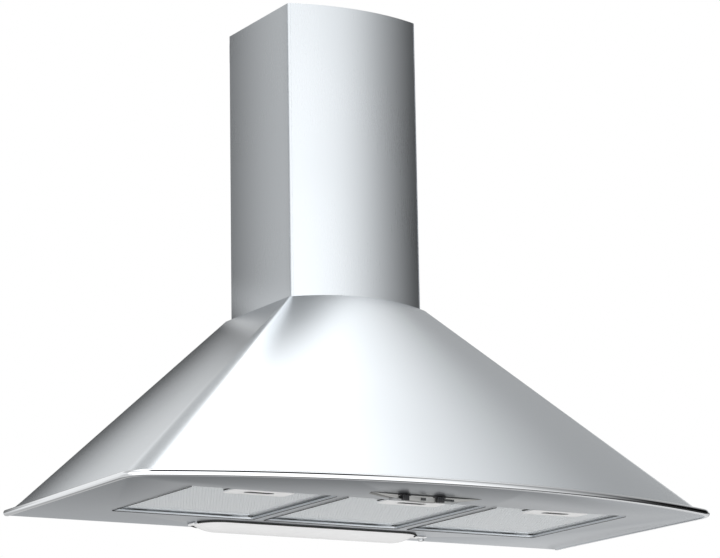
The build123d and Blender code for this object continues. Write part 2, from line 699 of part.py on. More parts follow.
# ---------------------------------------------------------------- blower
def blower_deck(inner):
    """Sheet across the throat of the canopy that carries the blower and the collar."""
    slab = block(-300, 300, -400, -REAR_SHEET - SHEET, DECK_Z, DECK_Z + DECK_SHEET)
    deck = inner & slab
    deck -= post(0, DUCT_Y, DECK_Z - 1, DECK_Z + 5, SPIGOT_R - SPIGOT_WALL)
    return deck - post(GLAND_X, GLAND_Y, DECK_Z - 1, DECK_Z + 5, 7)


def cable_gland():
    """Gland in the deck for the mains cable: a bored sleeve between two hexagons."""
    bore = 4.0
    z = DECK_Z
    gland = post(GLAND_X, GLAND_Y, z - 6, z + 8, 7)
    nut = Pos(GLAND_X, GLAND_Y, z - 2) * extrude(RegularPolygon(10, 6), 2)
    gland += [nut, Pos(0, 0, 2 + DECK_SHEET) * nut]
    return gland - post(GLAND_X, GLAND_Y, z - 10, z + 20, bore)


def scroll_inner(x0, x1):
    """Cavity of the blower housing: three growing quarter turns and an upward outlet."""
    y, z, s, r = SCROLL_Y, SCROLL_Z, SCROLL_STEP, SCROLL_R
    lip = 5.0
    start_z = z + sqrt(r**2 - lip**2)
    top = DECK_Z + 2
    q = sqrt(0.5)
    edges = [
        Line((y, top), (y, z + r + lip)),
        ThreePointArc((y, z + r + lip), (y - lip * 0.29, start_z + lip * 0.3), (y - lip, start_z)),
        ThreePointArc((y - lip, start_z), (y - r * q, z + r * q), (y - r, z)),
        ThreePointArc((y - r, z), (y + s - (r + s) * q, z - (r + s) * q), (y + s, z - r - s)),
        ThreePointArc(
            (y + s, z - r - s),
            (y + s + (r + 2 * s) * q, z + s - (r + 2 * s) * q),
            (y + 3 * s + r, z + s),
        ),
        Line((y + 3 * s + r, z + s), (y + 3 * s + r, top)),
        Line((y + 3 * s + r, top), (y, top)),
    ]
    return Pos(x0, 0, 0) * extrude(Plane.YZ * make_face(Curve() + edges), x1 - x0)


def scroll_outer(x0, x1, offset, top):
    """Outside of the blower housing, offset from the cavity."""
    y, z, s = SCROLL_Y, SCROLL_Z, SCROLL_STEP
    a, b, c = SCROLL_R + offset, SCROLL_R + s + offset, SCROLL_R + 2 * s + offset
    q = sqrt(0.5)
    meet_z = z + sqrt(a**2 - offset**2)
    turn = radians(90) * 0.5
    edges = [
        Line((y - offset, top), (y - offset, meet_z)),
        ThreePointArc((y - offset, meet_z), (y - a * sin(turn), z + a * cos(turn)), (y - a, z)),
        ThreePointArc((y - a, z), (y + s - b * q, z - b * q), (y + s, z - b)),
        ThreePointArc((y + s, z - b), (y + s + c * q, z + s - c * q), (y + s + c, z + s)),
        Line((y + s + c, z + s), (y + s + c, top)),
        Line((y + s + c, top), (y - offset, top)),
    ]
    return Pos(x0, 0, 0) * extrude(Plane.YZ * make_face(Curve() + edges), x1 - x0)


def housing_screw_places():
    """Four places round the joint flange, each on the arc of its own quarter."""
    y, z, s = SCROLL_Y, SCROLL_Z, SCROLL_STEP
    r = SCROLL_R + 6.0
    spots = ((y, z, r, 115), (y, z, r, 168), (y + s, z, r + s, 235), (y + s, z + s, r + 2 * s, 315))
    places = []
    for centre_y, centre_z, reach, degrees in spots:
        angle = radians(degrees)
        places.append((centre_y + reach * cos(angle), centre_z + reach * sin(angle)))
    return places


def blower_housing_half():
    """Right half of the scroll housing: wall, raised inlet eye, joint and top flanges."""
    wall = HOUSING_WALL
    half = scroll_outer(0, HOUSING_HALF, wall, DECK_Z - wall)
    half += scroll_outer(0, 2.5, 10, DECK_Z - wall)
    y0, y1 = SCROLL_Y - 14, SCROLL_Y + SCROLL_R + 3 * SCROLL_STEP + 12
    half += block(0, HOUSING_HALF + 12, y0, y1, DECK_Z - wall, DECK_Z)
    half -= scroll_inner(-1, HOUSING_HALF - wall)
    half += rod(HOUSING_HALF, HOUSING_HALF + 3, WHEEL_Y, WHEEL_Z, EYE_R + 6)
    half -= rod(-1, HOUSING_HALF + 10, WHEEL_Y, WHEEL_Z, EYE_R)
    eye = half.edges().filter_by(GeomType.CIRCLE)
    eye = eye.filter_by(lambda e: abs(e.radius - EYE_R) < 0.1).sort_by(Axis.X)[-1]
    half = chamfer(eye, 2.5)
    for y, z in housing_screw_places():
        half -= rod(-1, 5, y, z, 2.0)
    return half


def blower_screws():
    """Four hexagon screws that close the two housing halves."""
    screws = []
    for y, z in housing_screw_places():
        head = Pos(2.5, y, z) * Rot(0, 90, 0) * extrude(RegularPolygon(4.0, 6), 2.5)
        screws.append(rod(-2.5, 2.5, y, z, 2.0) + head)
    return screws


def impeller():
    """Double-inlet wheel: forward-curved blades, two end rings, centre disc and hub."""
    ring = Cylinder(WHEEL_R, 2) - Cylinder(WHEEL_INNER_R, 2)
    wheel = Pos(0, 0, -WHEEL_HALF + 1) * ring + Pos(0, 0, WHEEL_HALF - 1) * ring
    wheel += Cylinder(WHEEL_INNER_R + 4, 2)
    wheel += Pos(0, 0, -3) * Cylinder(10, 14)
    inner_r, outer_r = WHEEL_INNER_R + 0.6, WHEEL_R - 0.6
    lean = radians(7)
    thick = radians(0.9)

    def at(radius, angle):
        return (radius * cos(angle), radius * sin(angle))

    mid_r = (inner_r + outer_r) / 2
    section = [at(inner_r, 0), at(mid_r, lean * 0.2), at(outer_r, lean)]
    section += [at(outer_r, lean + thick), at(mid_r, lean * 0.2 + thick), at(inner_r, thick)]
    blade = extrude(make_face(Polyline(*section, close=True)), 2 * WHEEL_HALF - 1)
    blade = Pos(0, 0, -WHEEL_HALF + 0.5) * blade
    blades = [Rot(0, 0, 360 / BLADES * i) * blade for i in range(BLADES)]
    wheel = wheel.fuse(*blades)
    wheel -= Cylinder(SHAFT_R, 60)
    return Pos(0, WHEEL_Y, WHEEL_Z) * Rot(0, 90, 0) * wheel


def motor_shaft():
    return rod(-12, 78, WHEEL_Y, WHEEL_Z, SHAFT_R)


MOTOR_X0 = 8.0
MOTOR_X1 = 72.0
BEARING_LENGTH = 6.0


def blower_motor():
    """Motor can with a raised bearing seat at each end, bored through for the shaft."""
    body = rod(MOTOR_X0 + 4, MOTOR_X1 - 4, WHEEL_Y, WHEEL_Z, MOTOR_R)
    body += rod(MOTOR_X0, MOTOR_X1, WHEEL_Y, WHEEL_Z, 14)
    body -= rod(MOTOR_X0 - 1, MOTOR_X1 + 1, WHEEL_Y, WHEEL_Z, SHAFT_R + 1.5)
    body -= rod(MOTOR_X0 - 1, MOTOR_X0 + BEARING_LENGTH, WHEEL_Y, WHEEL_Z, BEARING_R)
    return body - rod(MOTOR_X1 - BEARING_LENGTH, MOTOR_X1 + 1, WHEEL_Y, WHEEL_Z, BEARING_R)


def motor_bearings():
    bearings = []
    for x0 in (MOTOR_X0, MOTOR_X1 - BEARING_LENGTH):
        ring = rod(x0, x0 + BEARING_LENGTH, WHEEL_Y, WHEEL_Z, BEARING_R)
        bearings.append(ring - rod(x0 - 1, x0 + 8, WHEEL_Y, WHEEL_Z, SHAFT_R + RUNNING_GAP))
    return bearings


def motor_bracket():
    """Clamp ring with three arms, screwed to the right half of the housing."""
    x0 = HOUSING_HALF + 3
    ring = rod(x0 - 8, x0 + 2, WHEEL_Y, WHEEL_Z, MOTOR_R + 3)
    arm = block(x0, x0 + 2, -6, 6, MOTOR_R + 1, EYE_R + 5)
    for i in range(3):
        ring += Pos(0, WHEEL_Y, WHEEL_Z) * Rot(120 * i, 0, 0) * arm
    return ring - rod(x0 - 10, x0 + 10, WHEEL_Y, WHEEL_Z, MOTOR_R)


def outlet_collar():
    """Round spigot on a square flange, with the flaps' stop ledge and pin holes."""
    base = DECK_Z + DECK_SHEET
    inner = SPIGOT_R - SPIGOT_WALL
    flange = block(-75, 75, DUCT_Y - 75, DUCT_Y + 75, base, base + 2)
    collar = flange + post(0, DUCT_Y, base, SPIGOT_TOP, SPIGOT_R)
    ledge_z = FLAP_PIN_Z - 1.5
    collar -= post(0, DUCT_Y, base - 1, ledge_z + 1, inner - 3)
    collar -= post(0, DUCT_Y, ledge_z, SPIGOT_TOP + 1, inner)
    for side in (-1, 1):
        collar -= rod(-FLAP_PIN_END, FLAP_PIN_END, DUCT_Y + side * FLAP_PIN_OFFSET, FLAP_PIN_Z, FLAP_PIN_R)
    for x, y in collar_screw_places():
        collar -= post(x, y, base - 1, base + 3, 2.0)
    return collar


def collar_screw_places():
    reach = 66.0
    return [(x * reach, DUCT_Y + y * reach) for x in (-1, 1) for y in (-1, 1)]


def collar_screws():
    base = DECK_Z + DECK_SHEET
    head = Pos(0, 0, base + 2) * extrude(RegularPolygon(4.0, 6), 2.4)
    return [post(x, y, base, base + 2, 2.0) + Pos(x, y, 0) * head for x, y in collar_screw_places()]


def flap_pins():
    pins = []
    for side in (-1, 1):
        pins.append(rod(-FLAP_PIN_END, FLAP_PIN_END, DUCT_Y + side * FLAP_PIN_OFFSET, FLAP_PIN_Z, FLAP_PIN_R))
    return pins


def damper_flap(side):
    """Half-round non-return flap hung on its pin by a long barrel."""
    reach = SPIGOT_R - SPIGOT_WALL - 1.0
    pin_y = side * FLAP_PIN_OFFSET
    disc = post(0, 0, FLAP_PIN_Z - 1.2, FLAP_PIN_Z - 0.4, reach)
    keep = block(-60, 60, 0.5, 60, FLAP_PIN_Z - 5, FLAP_PIN_Z + 5)
    keep = Pos(0, pin_y, 0) * keep if side > 0 else Pos(0, pin_y, 0) * mirror(keep, about=Plane.XZ)
    flap = (disc & keep) + rod(-50, 50, pin_y, FLAP_PIN_Z, 2.2)
    flap -= rod(-60, 60, pin_y, FLAP_PIN_Z, FLAP_PIN_R + 0.07)
    return Pos(0, DUCT_Y, 0) * flap


# ---------------------------------------------------------------- electrics
BOX_X0, BOX_X1 = 110.0, 200.0
BOX_Y = -44.0
BOX_Z0, BOX_Z1 = 84.0, 150.0


def electrical_box():
    """Open-fronted wiring box on the rear panel."""
    back = -REAR_SHEET
    box = block(BOX_X0, BOX_X1, BOX_Y, back, BOX_Z0, BOX_Z1)
    box -= block(BOX_X0 + 2, BOX_X1 - 2, BOX_Y - 1, back - 2, BOX_Z0 + 2, BOX_Z1 - 2)
    return box - post(BOX_X0 + 20, -22, BOX_Z1 - 5, BOX_Z1 + 5, 5)


def electrical_cover():
    lid = block(BOX_X0 - 1, BOX_X1 + 1, BOX_Y - 2, BOX_Y, BOX_Z0 - 1, BOX_Z1 + 1)
    return chamfer(lid.edges().filter_by(Axis.Y), 3)


def terminal_block():
    """Five-way block with screw wells."""
    x0, z0 = BOX_X0 + 14, BOX_Z0 + 24
    body = block(x0, x0 + 60, -19, -REAR_SHEET - 2, z0, z0 + 16)
    for i in range(5):
        well_x = x0 + 6 + 12 * i
        body -= block(well_x - 3, well_x + 3, -20, -11, z0 + 5, z0 + 11)
    return body


def capacitor():
    """Motor capacitor, a plain can hung under the deck."""
    return rod(-118, -76, -20, DECK_Z - 17, 15)


def capacitor_clip():
    """Strap that hangs the capacitor under the deck."""
    low = DECK_Z - 32
    strap = block(-94, -78, -36.2, -3.8, low - 1.2, DECK_Z)
    return strap - block(-95, -77, -35, -5, low, DECK_Z + 1)


# ---------------------------------------------------------------- build
def main():
    os.makedirs("parts", exist_ok=True)
    inner = canopy_inner()
    save("canopy_shell", canopy_shell(inner))
    save("rim_trim", rim_trim())
    save("rear_panel", rear_panel())
    save("rear_rivets", *rear_rivets())
    save("underside_panel", underside_panel())
    for index, side in filter_centres():
        x = index * FILTER_PITCH
        save(f"filter_frame_{side}", filter_frame(x))
        save(f"filter_mesh_{side}", *filter_mesh(x))
        save(f"filter_core_{side}", filter_core(x))
        save(f"filter_latch_{side}", latch(x))
        save(f"latch_spring_{side}", latch_spring(x))
    save("control_fascia", control_fascia())
    save("indicator_lens", indicator_lens())
    save("light_switch", slider_switch(LIGHT_KNOB_X, LIGHT_TRAVEL, 0))
    save("fan_switch", slider_switch(FAN_KNOB_X, 0, FAN_TRAVEL))
    save("light_slider", slider_knob(LIGHT_KNOB_X))
    save("fan_slider", slider_knob(FAN_KNOB_X))
    save("lamp_cover", lamp_cover())
    save("lamp_hinge", lamp_hinge())
    save("lamp_screw", lamp_screw())
    save("lamp_tray", lamp_tray())
    save("lamp_holders", *lamp_holders())
    save("candle_lamps", *candle_lamps())
    save("chimney_lower", chimney_lower())
    save("chimney_upper", chimney_upper())
    save("chimney_bracket", chimney_bracket())
    save("bracket_screws", *bracket_screws())
    save("blower_deck", blower_deck(inner))
    save("cable_gland", cable_gland())
    right = blower_housing_half()
    save("blower_housing_right", right)
    save("blower_housing_left", mirrored(right))
    save("blower_screws", *blower_screws())
    save("impeller", impeller())
    save("motor_shaft", motor_shaft())
    save("blower_motor", blower_motor())
    save("motor_bearings", *motor_bearings())
    save("motor_bracket", motor_bracket())
    save("outlet_collar", outlet_collar())
    save("collar_screws", *collar_screws())
    save("flap_pins", *flap_pins())
    save("damper_flap_front", damper_flap(-1))
    save("damper_flap_rear", damper_flap(1))
    save("electrical_box", electrical_box())
    save("electrical_cover", electrical_cover())
    save("terminal_block", terminal_block())
    save("capacitor", capacitor())
    save("capacitor_clip", capacitor_clip())


main()
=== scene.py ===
import json
import math

import bmesh
import bpy
from mathutils import Matrix, Vector

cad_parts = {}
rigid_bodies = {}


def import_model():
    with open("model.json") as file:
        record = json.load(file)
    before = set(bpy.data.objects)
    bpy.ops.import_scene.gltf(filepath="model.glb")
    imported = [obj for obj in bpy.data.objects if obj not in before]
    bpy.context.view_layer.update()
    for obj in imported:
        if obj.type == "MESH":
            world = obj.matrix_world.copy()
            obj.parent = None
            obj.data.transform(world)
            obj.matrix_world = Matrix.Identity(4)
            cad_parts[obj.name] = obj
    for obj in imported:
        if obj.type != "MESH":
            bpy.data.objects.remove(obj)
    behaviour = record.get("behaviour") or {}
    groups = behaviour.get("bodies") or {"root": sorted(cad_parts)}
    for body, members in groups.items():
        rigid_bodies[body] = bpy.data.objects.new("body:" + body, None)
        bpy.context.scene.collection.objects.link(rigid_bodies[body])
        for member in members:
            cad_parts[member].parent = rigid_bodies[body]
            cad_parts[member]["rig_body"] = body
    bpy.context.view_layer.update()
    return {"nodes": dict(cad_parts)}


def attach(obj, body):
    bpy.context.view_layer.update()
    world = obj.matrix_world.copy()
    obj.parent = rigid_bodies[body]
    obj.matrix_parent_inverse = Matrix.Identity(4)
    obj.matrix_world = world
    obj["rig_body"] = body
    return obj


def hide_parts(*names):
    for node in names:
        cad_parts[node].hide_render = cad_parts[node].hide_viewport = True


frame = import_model()
nodes = frame["nodes"]
MM = 0.001
ORIGIN_Z = -0.2  # the drawing's z = 0, the rim's lowest line, in the hood's own frame
SIDES = {"left": -230.0, "middle": 0.0, "right": 230.0}

# %% [markdown]
# ## Camera
# The camera stands low at the left, so it looks up under the rim. Its place was found
# from the hood's straight edges: 145 mm of lens on a 36 mm sensor, 4 m away.
# %% Camera
yaw, pitch, roll = 0.533, 0.223, -0.017
FOCAL_PIXELS, PHOTO_WIDTH = 2900.0, 720.0
forward = Vector(
    (math.sin(yaw) * math.cos(pitch), math.cos(yaw) * math.cos(pitch), math.sin(pitch))
)
level = forward.cross(Vector((0, 0, 1))).normalized()
rise = level.cross(forward)
right = math.cos(roll) * level + math.sin(roll) * rise
up = -math.sin(roll) * level + math.cos(roll) * rise
camera = bpy.data.objects.new("camera", bpy.data.cameras.new("camera"))
bpy.context.scene.collection.objects.link(camera)
turn = Matrix((right, up, -forward)).transposed().to_4x4()
camera.matrix_world = Matrix.Translation((-1.9975, -3.5776, -0.7589)) @ turn
camera.data.sensor_width = 36.0
camera.data.lens = FOCAL_PIXELS / PHOTO_WIDTH * camera.data.sensor_width
camera.data.clip_start, camera.data.clip_end = 0.1, 60.0
bpy.context.scene.camera = camera
print("lens", camera.data.lens)


# %% [markdown]
# ## Small helpers
# Every piece below needs the same few steps: turn points and faces into a mesh, shade it
# smooth except at folds, say which body it rides on and which solid it stands for.
# Modifiers are applied before a piece is handed over, so that its folds can be marked on
# the mesh that is really seen.
# %% Mesh helpers
FOLD_ANGLE = 35.0


def smooth(mesh, angle=30.0):
    """Smooth shading that stays crisp where faces meet at more than the angle."""
    for polygon in mesh.polygons:
        polygon.use_smooth = True
    mesh.set_sharp_from_angle(angle=math.radians(angle))
    return mesh


def mesh_from(name, points, faces):
    """A mesh from points in metres."""
    mesh = bpy.data.meshes.new(name)
    mesh.from_pydata([tuple(p) for p in points], [], faces)
    mesh.validate()
    return smooth(mesh)


def drawn(points):
    """Points of the drawing, in millimetres, as places in the hood's frame."""
    return [(x * MM, y * MM, z * MM + ORIGIN_Z) for x, y, z in points]


def outward(mesh):
    """Turns the faces of a closed mesh outwards."""
    shape = bmesh.new()
    shape.from_mesh(mesh)
    bmesh.ops.remove_doubles(shape, verts=shape.verts, dist=1e-6)
    bmesh.ops.recalc_face_normals(shape, faces=shape.faces)
    shape.to_mesh(mesh)
    shape.free()
    return mesh


def grid_faces(rows, columns, closed=False):
    """Quads between rows of points laid out one after another."""
    faces = []
    last = columns if closed else columns - 1
    for row in range(0, (rows - 1) * columns, columns):
        for c in range(last):
            d = (c + 1) % columns
            faces.append((row + c, row + d, row + columns + d, row + columns + c))
    return faces


def ring_face(row, columns):
    """One face across a whole row of points, which closes an end."""
    return tuple(range(row * columns, (row + 1) * columns))


def placed(name, data):
    """An object at the origin."""
    obj = bpy.data.objects.new(name, data)
    bpy.context.scene.collection.objects.link(obj)
    return obj


def joined(name, parts, merge=0.0):
    """One mesh of several; points closer than the merge distance become one."""
    shape = bmesh.new()
    for part in parts:
        shape.from_mesh(part)
    if merge:
        bmesh.ops.remove_doubles(shape, verts=shape.verts, dist=merge)
    mesh = bpy.data.meshes.new(name)
    shape.to_mesh(mesh)
    shape.free()
    return mesh


def worked(mesh, kind, settings, angle=30.0, inputs=()):
    """The mesh after one modifier; inputs are the values for a node tree's sockets."""
    obj = placed("work", mesh)
    modifier = obj.modifiers.new("work", kind)
    for key, value in settings.items():
        setattr(modifier, key, value)
    for key, value in inputs:
        modifier[key] = value
    graph = bpy.context.evaluated_depsgraph_get()
    result = bpy.data.meshes.new_from_object(obj.evaluated_get(graph), depsgraph=graph)
    bpy.data.objects.remove(obj)
    return smooth(result, angle)


def thickened(mesh, thickness, angle):
    """Gives a sheet its wall, inwards from the outer surface."""
    settings = {"thickness": thickness, "offset": -1.0, "use_even_offset": True}
    return worked(mesh, "SOLIDIFY", settings, angle)


def softened(mesh, width):
    """Rounds the edges of a solid a little, as deburring does."""
    settings = {"width": width, "segments": 2, "limit_method": "ANGLE"}
    settings["angle_limit"] = math.radians(FOLD_ANGLE)
    return worked(mesh, "BEVEL", settings, 50.0)


def pierced(mesh, cutter, operation="DIFFERENCE"):
    """Cuts a closed shape out of a mesh, or keeps only what is inside it."""
    tool = placed("cutter", cutter)
    settings = {"operation": operation, "solver": "EXACT", "object": tool}
    result = worked(mesh, "BOOLEAN", settings, FOLD_ANGLE)
    bpy.data.objects.remove(tool)
    return result


def piece(name, mesh, body, material, stands_for=()):
    """A finished piece at the origin, riding on a body of the hood."""
    obj = placed(name, mesh)
    mesh.materials.clear()
    mesh.materials.append(material)
    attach(obj, body)
    if stands_for:
        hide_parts(*stands_for)
    return obj


def copy_of(node):
    """A merged copy of a solid's mesh, with its flat triangles joined into faces."""
    shape = bmesh.new()
    shape.from_mesh(nodes[node].data)
    bmesh.ops.remove_doubles(shape, verts=shape.verts, dist=2e-6)
    bmesh.ops.dissolve_limit(
        shape, angle_limit=math.radians(0.5), verts=shape.verts, edges=shape.edges
    )
    mesh = bpy.data.meshes.new(node + "_skin")
    shape.to_mesh(mesh)
    shape.free()
    return smooth(mesh, FOLD_ANGLE)


def dressed(node, material, width=0.0003, mesh=None):
    """A solid shown through a softened copy of itself."""
    mesh = softened(mesh or copy_of(node), width)
    return piece(node + "_dressed", mesh, nodes[node]["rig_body"], material, (node,))


def bars(name, boxes):
    """One mesh of straight bars, each between six planes of the drawing."""
    sides = ((0, 1, 3, 2), (4, 6, 7, 5), (0, 4, 5, 1), (2, 3, 7, 6), (0, 2, 6, 4), (1, 5, 7, 3))
    points, faces = [], []
    for x0, x1, y0, y1, z0, z1 in boxes:
        faces += [tuple(i + len(points) for i in side) for side in sides]
        points += [(x, y, z) for x in (x0, x1) for y in (y0, y1) for z in (z0, z1)]
    return mesh_from(name, drawn(points), faces)


def turned(name, profile, steps, place, axis):
    """A turned part: (distance along the axis, radius) pairs spun round it."""
    along = Vector(axis).normalized()
    across = along.orthogonal().normalized()
    beside = along.cross(across)
    points = []
    for reach, radius in profile:
        for i in range(steps):
            angle = 2 * math.pi * i / steps
            spoke = across * math.cos(angle) + beside * math.sin(angle)
            points.append(Vector(place) + along * reach + spoke * radius)
    faces = grid_faces(len(profile), steps, closed=True)
    faces += [ring_face(0, steps), ring_face(len(profile) - 1, steps)]
    return smooth(outward(mesh_from(name, drawn(points), faces)), 38.0)


# %% [markdown]
# ## Finishes
# Brushed steel is a mirror with very fine scratches in one direction. A shared group
# makes the scratches and faint smudges from the piece's own coordinates, and each metal
# uses it with its own direction, depth and colour. Moulded plastic and paint get a fine
# pebbled skin from a second group, and zinc-coated sheet gets crystals from a third.
# %% Shared effects
SKIN_OUTPUTS = ("Height", "Roughness", "Shade")


def socket(tree, label, kind, way="INPUT"):
    return tree.interface.new_socket(name=label, in_out=way, socket_type="NodeSocket" + kind)


def new_group(name, inputs):
    """A group with the given inputs and the outputs that every effect has."""
    group = bpy.data.node_groups.new(name, "ShaderNodeTree")
    for label, kind, default in inputs:
        socket(group, label, kind).default_value = default
    for label in SKIN_OUTPUTS:
        socket(group, label, "Float", "OUTPUT")
    return group, group.nodes.new("NodeGroupInput"), group.nodes.new("NodeGroupOutput")


def put(tree, kind, **settings):
    node = tree.nodes.new(kind)
    for key, value in settings.items():
        setattr(node, key, value)
    return node


def math_node(tree, operation, a, b=None):
    """One step of arithmetic on numbers or sockets."""
    node = put(tree, "ShaderNodeMath", operation=operation)
    for i, value in enumerate((a, b)):
        if isinstance(value, (int, float)):
            node.inputs[i].default_value = value
        elif value is not None:
            tree.links.new(value, node.inputs[i])
    return node.outputs[0]


def times(tree, first, *others):
    for value in others:
        first = math_node(tree, "MULTIPLY", first, value)
    return first


def plus(tree, first, *others):
    for value in others:
        first = math_node(tree, "ADD", first, value)
    return first


def noise(tree, vector, scale, detail=2.0):
    """Noise from -0.5 to 0.5."""
    node = put(tree, "ShaderNodeTexNoise")
    node.inputs["Detail"].default_value = detail
    tree.links.new(vector, node.inputs["Vector"])
    if isinstance(scale, (int, float)):
        node.inputs["Scale"].default_value = scale
    else:
        tree.links.new(scale, node.inputs["Scale"])
    return math_node(tree, "SUBTRACT", node.outputs["Fac"], 0.5)


def close_effect(group, end, *values):
    for label, value in zip(SKIN_OUTPUTS, values):
        group.links.new(value, end.inputs[label])
    return group


def make_grain():
    """Fine parallel scratches, with clouds where hands have rubbed the sheet."""
    stretch_in = ("Stretch", "Vector", (1.0, 1.0, 1.0))
    numbers = (("Scale", 900.0), ("Depth", 0.1), ("Roughness", 0.3), ("Smudge", 0.05))
    inputs = [stretch_in, *((label, "Float", value) for label, value in numbers)]
    group, start, end = new_group("brushed_grain", inputs)
    where = put(group, "ShaderNodeTexCoord")
    stretch = put(group, "ShaderNodeVectorMath", operation="MULTIPLY")
    group.links.new(where.outputs["Object"], stretch.inputs[0])
    group.links.new(start.outputs["Stretch"], stretch.inputs[1])
    lines = noise(group, stretch.outputs[0], start.outputs["Scale"], 3.0)
    height = times(group, lines, start.outputs["Depth"])
    smudge = times(group, noise(group, where.outputs["Object"], 7.0), start.outputs["Smudge"])
    rough = plus(group, start.outputs["Roughness"], smudge, times(group, height, 0.5))
    shade = plus(group, 1.0, times(group, height, 0.6))
    return close_effect(group, end, height, rough, shade)


def make_moulded():
    """The pebbled skin of moulded plastic or sprayed paint."""
    numbers = (("Scale", 1200.0), ("Depth", 0.3), ("Roughness", 0.4))
    inputs = [(label, "Float", value) for label, value in numbers]
    group, start, end = new_group("moulded_skin", inputs)
    where = put(group, "ShaderNodeTexCoord").outputs["Object"]
    pebbles = noise(group, where, start.outputs["Scale"])
    height = times(group, pebbles, start.outputs["Depth"])
    handled = noise(group, where, 22.0)
    rough = plus(group, start.outputs["Roughness"], times(group, handled, 0.12))
    shade = plus(group, 1.0, times(group, handled, 0.06))
    return close_effect(group, end, height, rough, shade)


def make_spangle():
    """The flat crystals of hot-dip zinc."""
    inputs = [("Scale", "Float", 90.0), ("Roughness", "Float", 0.4)]
    group, start, end = new_group("zinc_spangle", inputs)
    where = put(group, "ShaderNodeTexCoord").outputs["Object"]
    cells = put(group, "ShaderNodeTexVoronoi")
    group.links.new(where, cells.inputs["Vector"])
    group.links.new(start.outputs["Scale"], cells.inputs["Scale"])
    tone = put(group, "ShaderNodeSeparateColor")
    group.links.new(cells.outputs["Color"], tone.inputs[0])
    crystal = math_node(group, "SUBTRACT", tone.outputs[0], 0.5)
    height = times(group, cells.outputs["Distance"], 0.2)
    rough = plus(group, start.outputs["Roughness"], times(group, crystal, 0.18))
    shade = plus(group, 1.0, times(group, crystal, 0.2))
    return close_effect(group, end, height, rough, shade)


GRAIN, MOULDED, SPANGLE = make_grain(), make_moulded(), make_spangle()
print([group.name for group in bpy.data.node_groups])


# %% Material helpers
def finish(name, group, color, metallic, bump, values, **more):
    """A material whose shader is fed by one of the shared effects."""
    material = bpy.data.materials.new(name)
    material.use_nodes = True
    tree = material.node_tree
    link = tree.links.new
    shader = tree.nodes["Principled BSDF"]
    shader.inputs["Metallic"].default_value = metallic
    for label, value in more.items():
        shader.inputs[label.replace("_", " ")].default_value = value
    effect = put(tree, "ShaderNodeGroup", node_tree=group)
    for label, value in values.items():
        effect.inputs[label].default_value = value
    link(effect.outputs["Roughness"], shader.inputs["Roughness"])
    tone = put(tree, "ShaderNodeVectorMath", operation="SCALE")
    tone.inputs[0].default_value = color
    link(effect.outputs["Shade"], tone.inputs["Scale"])
    link(tone.outputs[0], shader.inputs["Base Color"])
    relief = put(tree, "ShaderNodeBump")
    relief.inputs["Strength"].default_value = bump
    relief.inputs["Distance"].default_value = 0.0005
    link(effect.outputs["Height"], relief.inputs["Height"])
    link(relief.outputs["Normal"], shader.inputs["Normal"])
    material.diffuse_color = (*color, 1.0)
    return material


def brushed(name, color, roughness, stretch, depth=0.08, scale=1800.0, smudge=0.05, bump=0.02):
    """Brushed metal: stretch is small along the brushing and 1 across it."""
    values = {"Stretch": stretch, "Scale": scale, "Depth": depth}
    values |= {"Roughness": roughness, "Smudge": smudge}
    return finish(name, GRAIN, color, 1.0, bump, values)


def moulded(name, color, roughness, scale=1200.0, bump=0.15, **more):
    """Plastic, rubber or paint."""
    return finish(name, MOULDED, color, 0.0, bump, {"Scale": scale, "Roughness": roughness}, **more)


# %% The hood's finishes
STEEL = (0.70, 0.735, 0.765)
chimney_steel = brushed("chimney_steel", STEEL, 0.28, (1.0, 1.0, 0.02))
canopy_steel = brushed("canopy_steel", STEEL, 0.26, (0.03, 0.03, 1.0), depth=0.05, bump=0.01)
panel_steel = brushed("panel_steel", (0.60, 0.63, 0.66), 0.32, (0.02, 1.0, 1.0))
polished_steel = brushed("polished_steel", (0.84, 0.86, 0.88), 0.07, (0.05, 0.05, 1.0), depth=0.02)
frame_aluminium = brushed("frame_aluminium", (0.80, 0.83, 0.85), 0.40, (0.03, 1.0, 1.0))
mesh_aluminium = finish(
    "mesh_aluminium", GRAIN, (0.76, 0.785, 0.80), 0.45, 0.03,
    {"Stretch": (1.0, 1.0, 1.0), "Scale": 300.0, "Depth": 0.1, "Roughness": 0.6, "Smudge": 0.08},
)
finish(
    "galvanised", SPANGLE, (0.62, 0.65, 0.67), 1.0, 0.05, {"Scale": 120.0, "Roughness": 0.42}
)
handle_white = moulded("handle_white", (0.90, 0.90, 0.90), 0.32)
fascia_satin = brushed("fascia_satin", (0.40, 0.40, 0.39), 0.36, (0.03, 1.0, 1.0))
black_plastic = moulded("black_plastic", (0.012, 0.012, 0.014), 0.38)
moulded("dark_lens", (0.010, 0.010, 0.013), 0.10, bump=0.0)
grey_plastic = moulded("grey_plastic", (0.30, 0.31, 0.32), 0.45)
moulded("white_plastic", (0.80, 0.80, 0.78), 0.40)
opal_plastic = moulded("opal_plastic", (0.97, 0.97, 0.97), 0.22, bump=0.02)
opal_glass = moulded("opal_glass", (0.93, 0.93, 0.91), 0.15, bump=0.01)
zinc_steel = brushed("zinc_steel", (0.66, 0.67, 0.68), 0.28, (1.0, 1.0, 1.0), scale=300.0)
brushed("spring_steel", (0.45, 0.46, 0.48), 0.25, (1.0, 0.05, 1.0))
# Black rubber for the cable gland; the same black also paints the shade strips round the filters,
# handles, fascia and lamp cover.
black_rubber = moulded("black_rubber", (0.018, 0.018, 0.018), 0.70, scale=700.0)
moulded("motor_paint", (0.06, 0.06, 0.065), 0.40, scale=500.0)
print(len(bpy.data.materials), "finishes")


# %% [markdown]
# ## Plan outline
# Seen from above, canopy, rim and chimney are the same figure at different sizes: two
# straight sides, two round corners and a bowed front. One function gives it, so that the
# pieces meet exactly where the solids do.
# %% Plan outline
def spread(count, edge=0.0):
    """Numbers from 0 to 1, with one extra close to each end where a bend begins."""
    steps = [i / count for i in range(count + 1)]
    if edge:
        steps = [0.0, edge, *steps[1:-1], 1.0 - edge, 1.0]
    return steps


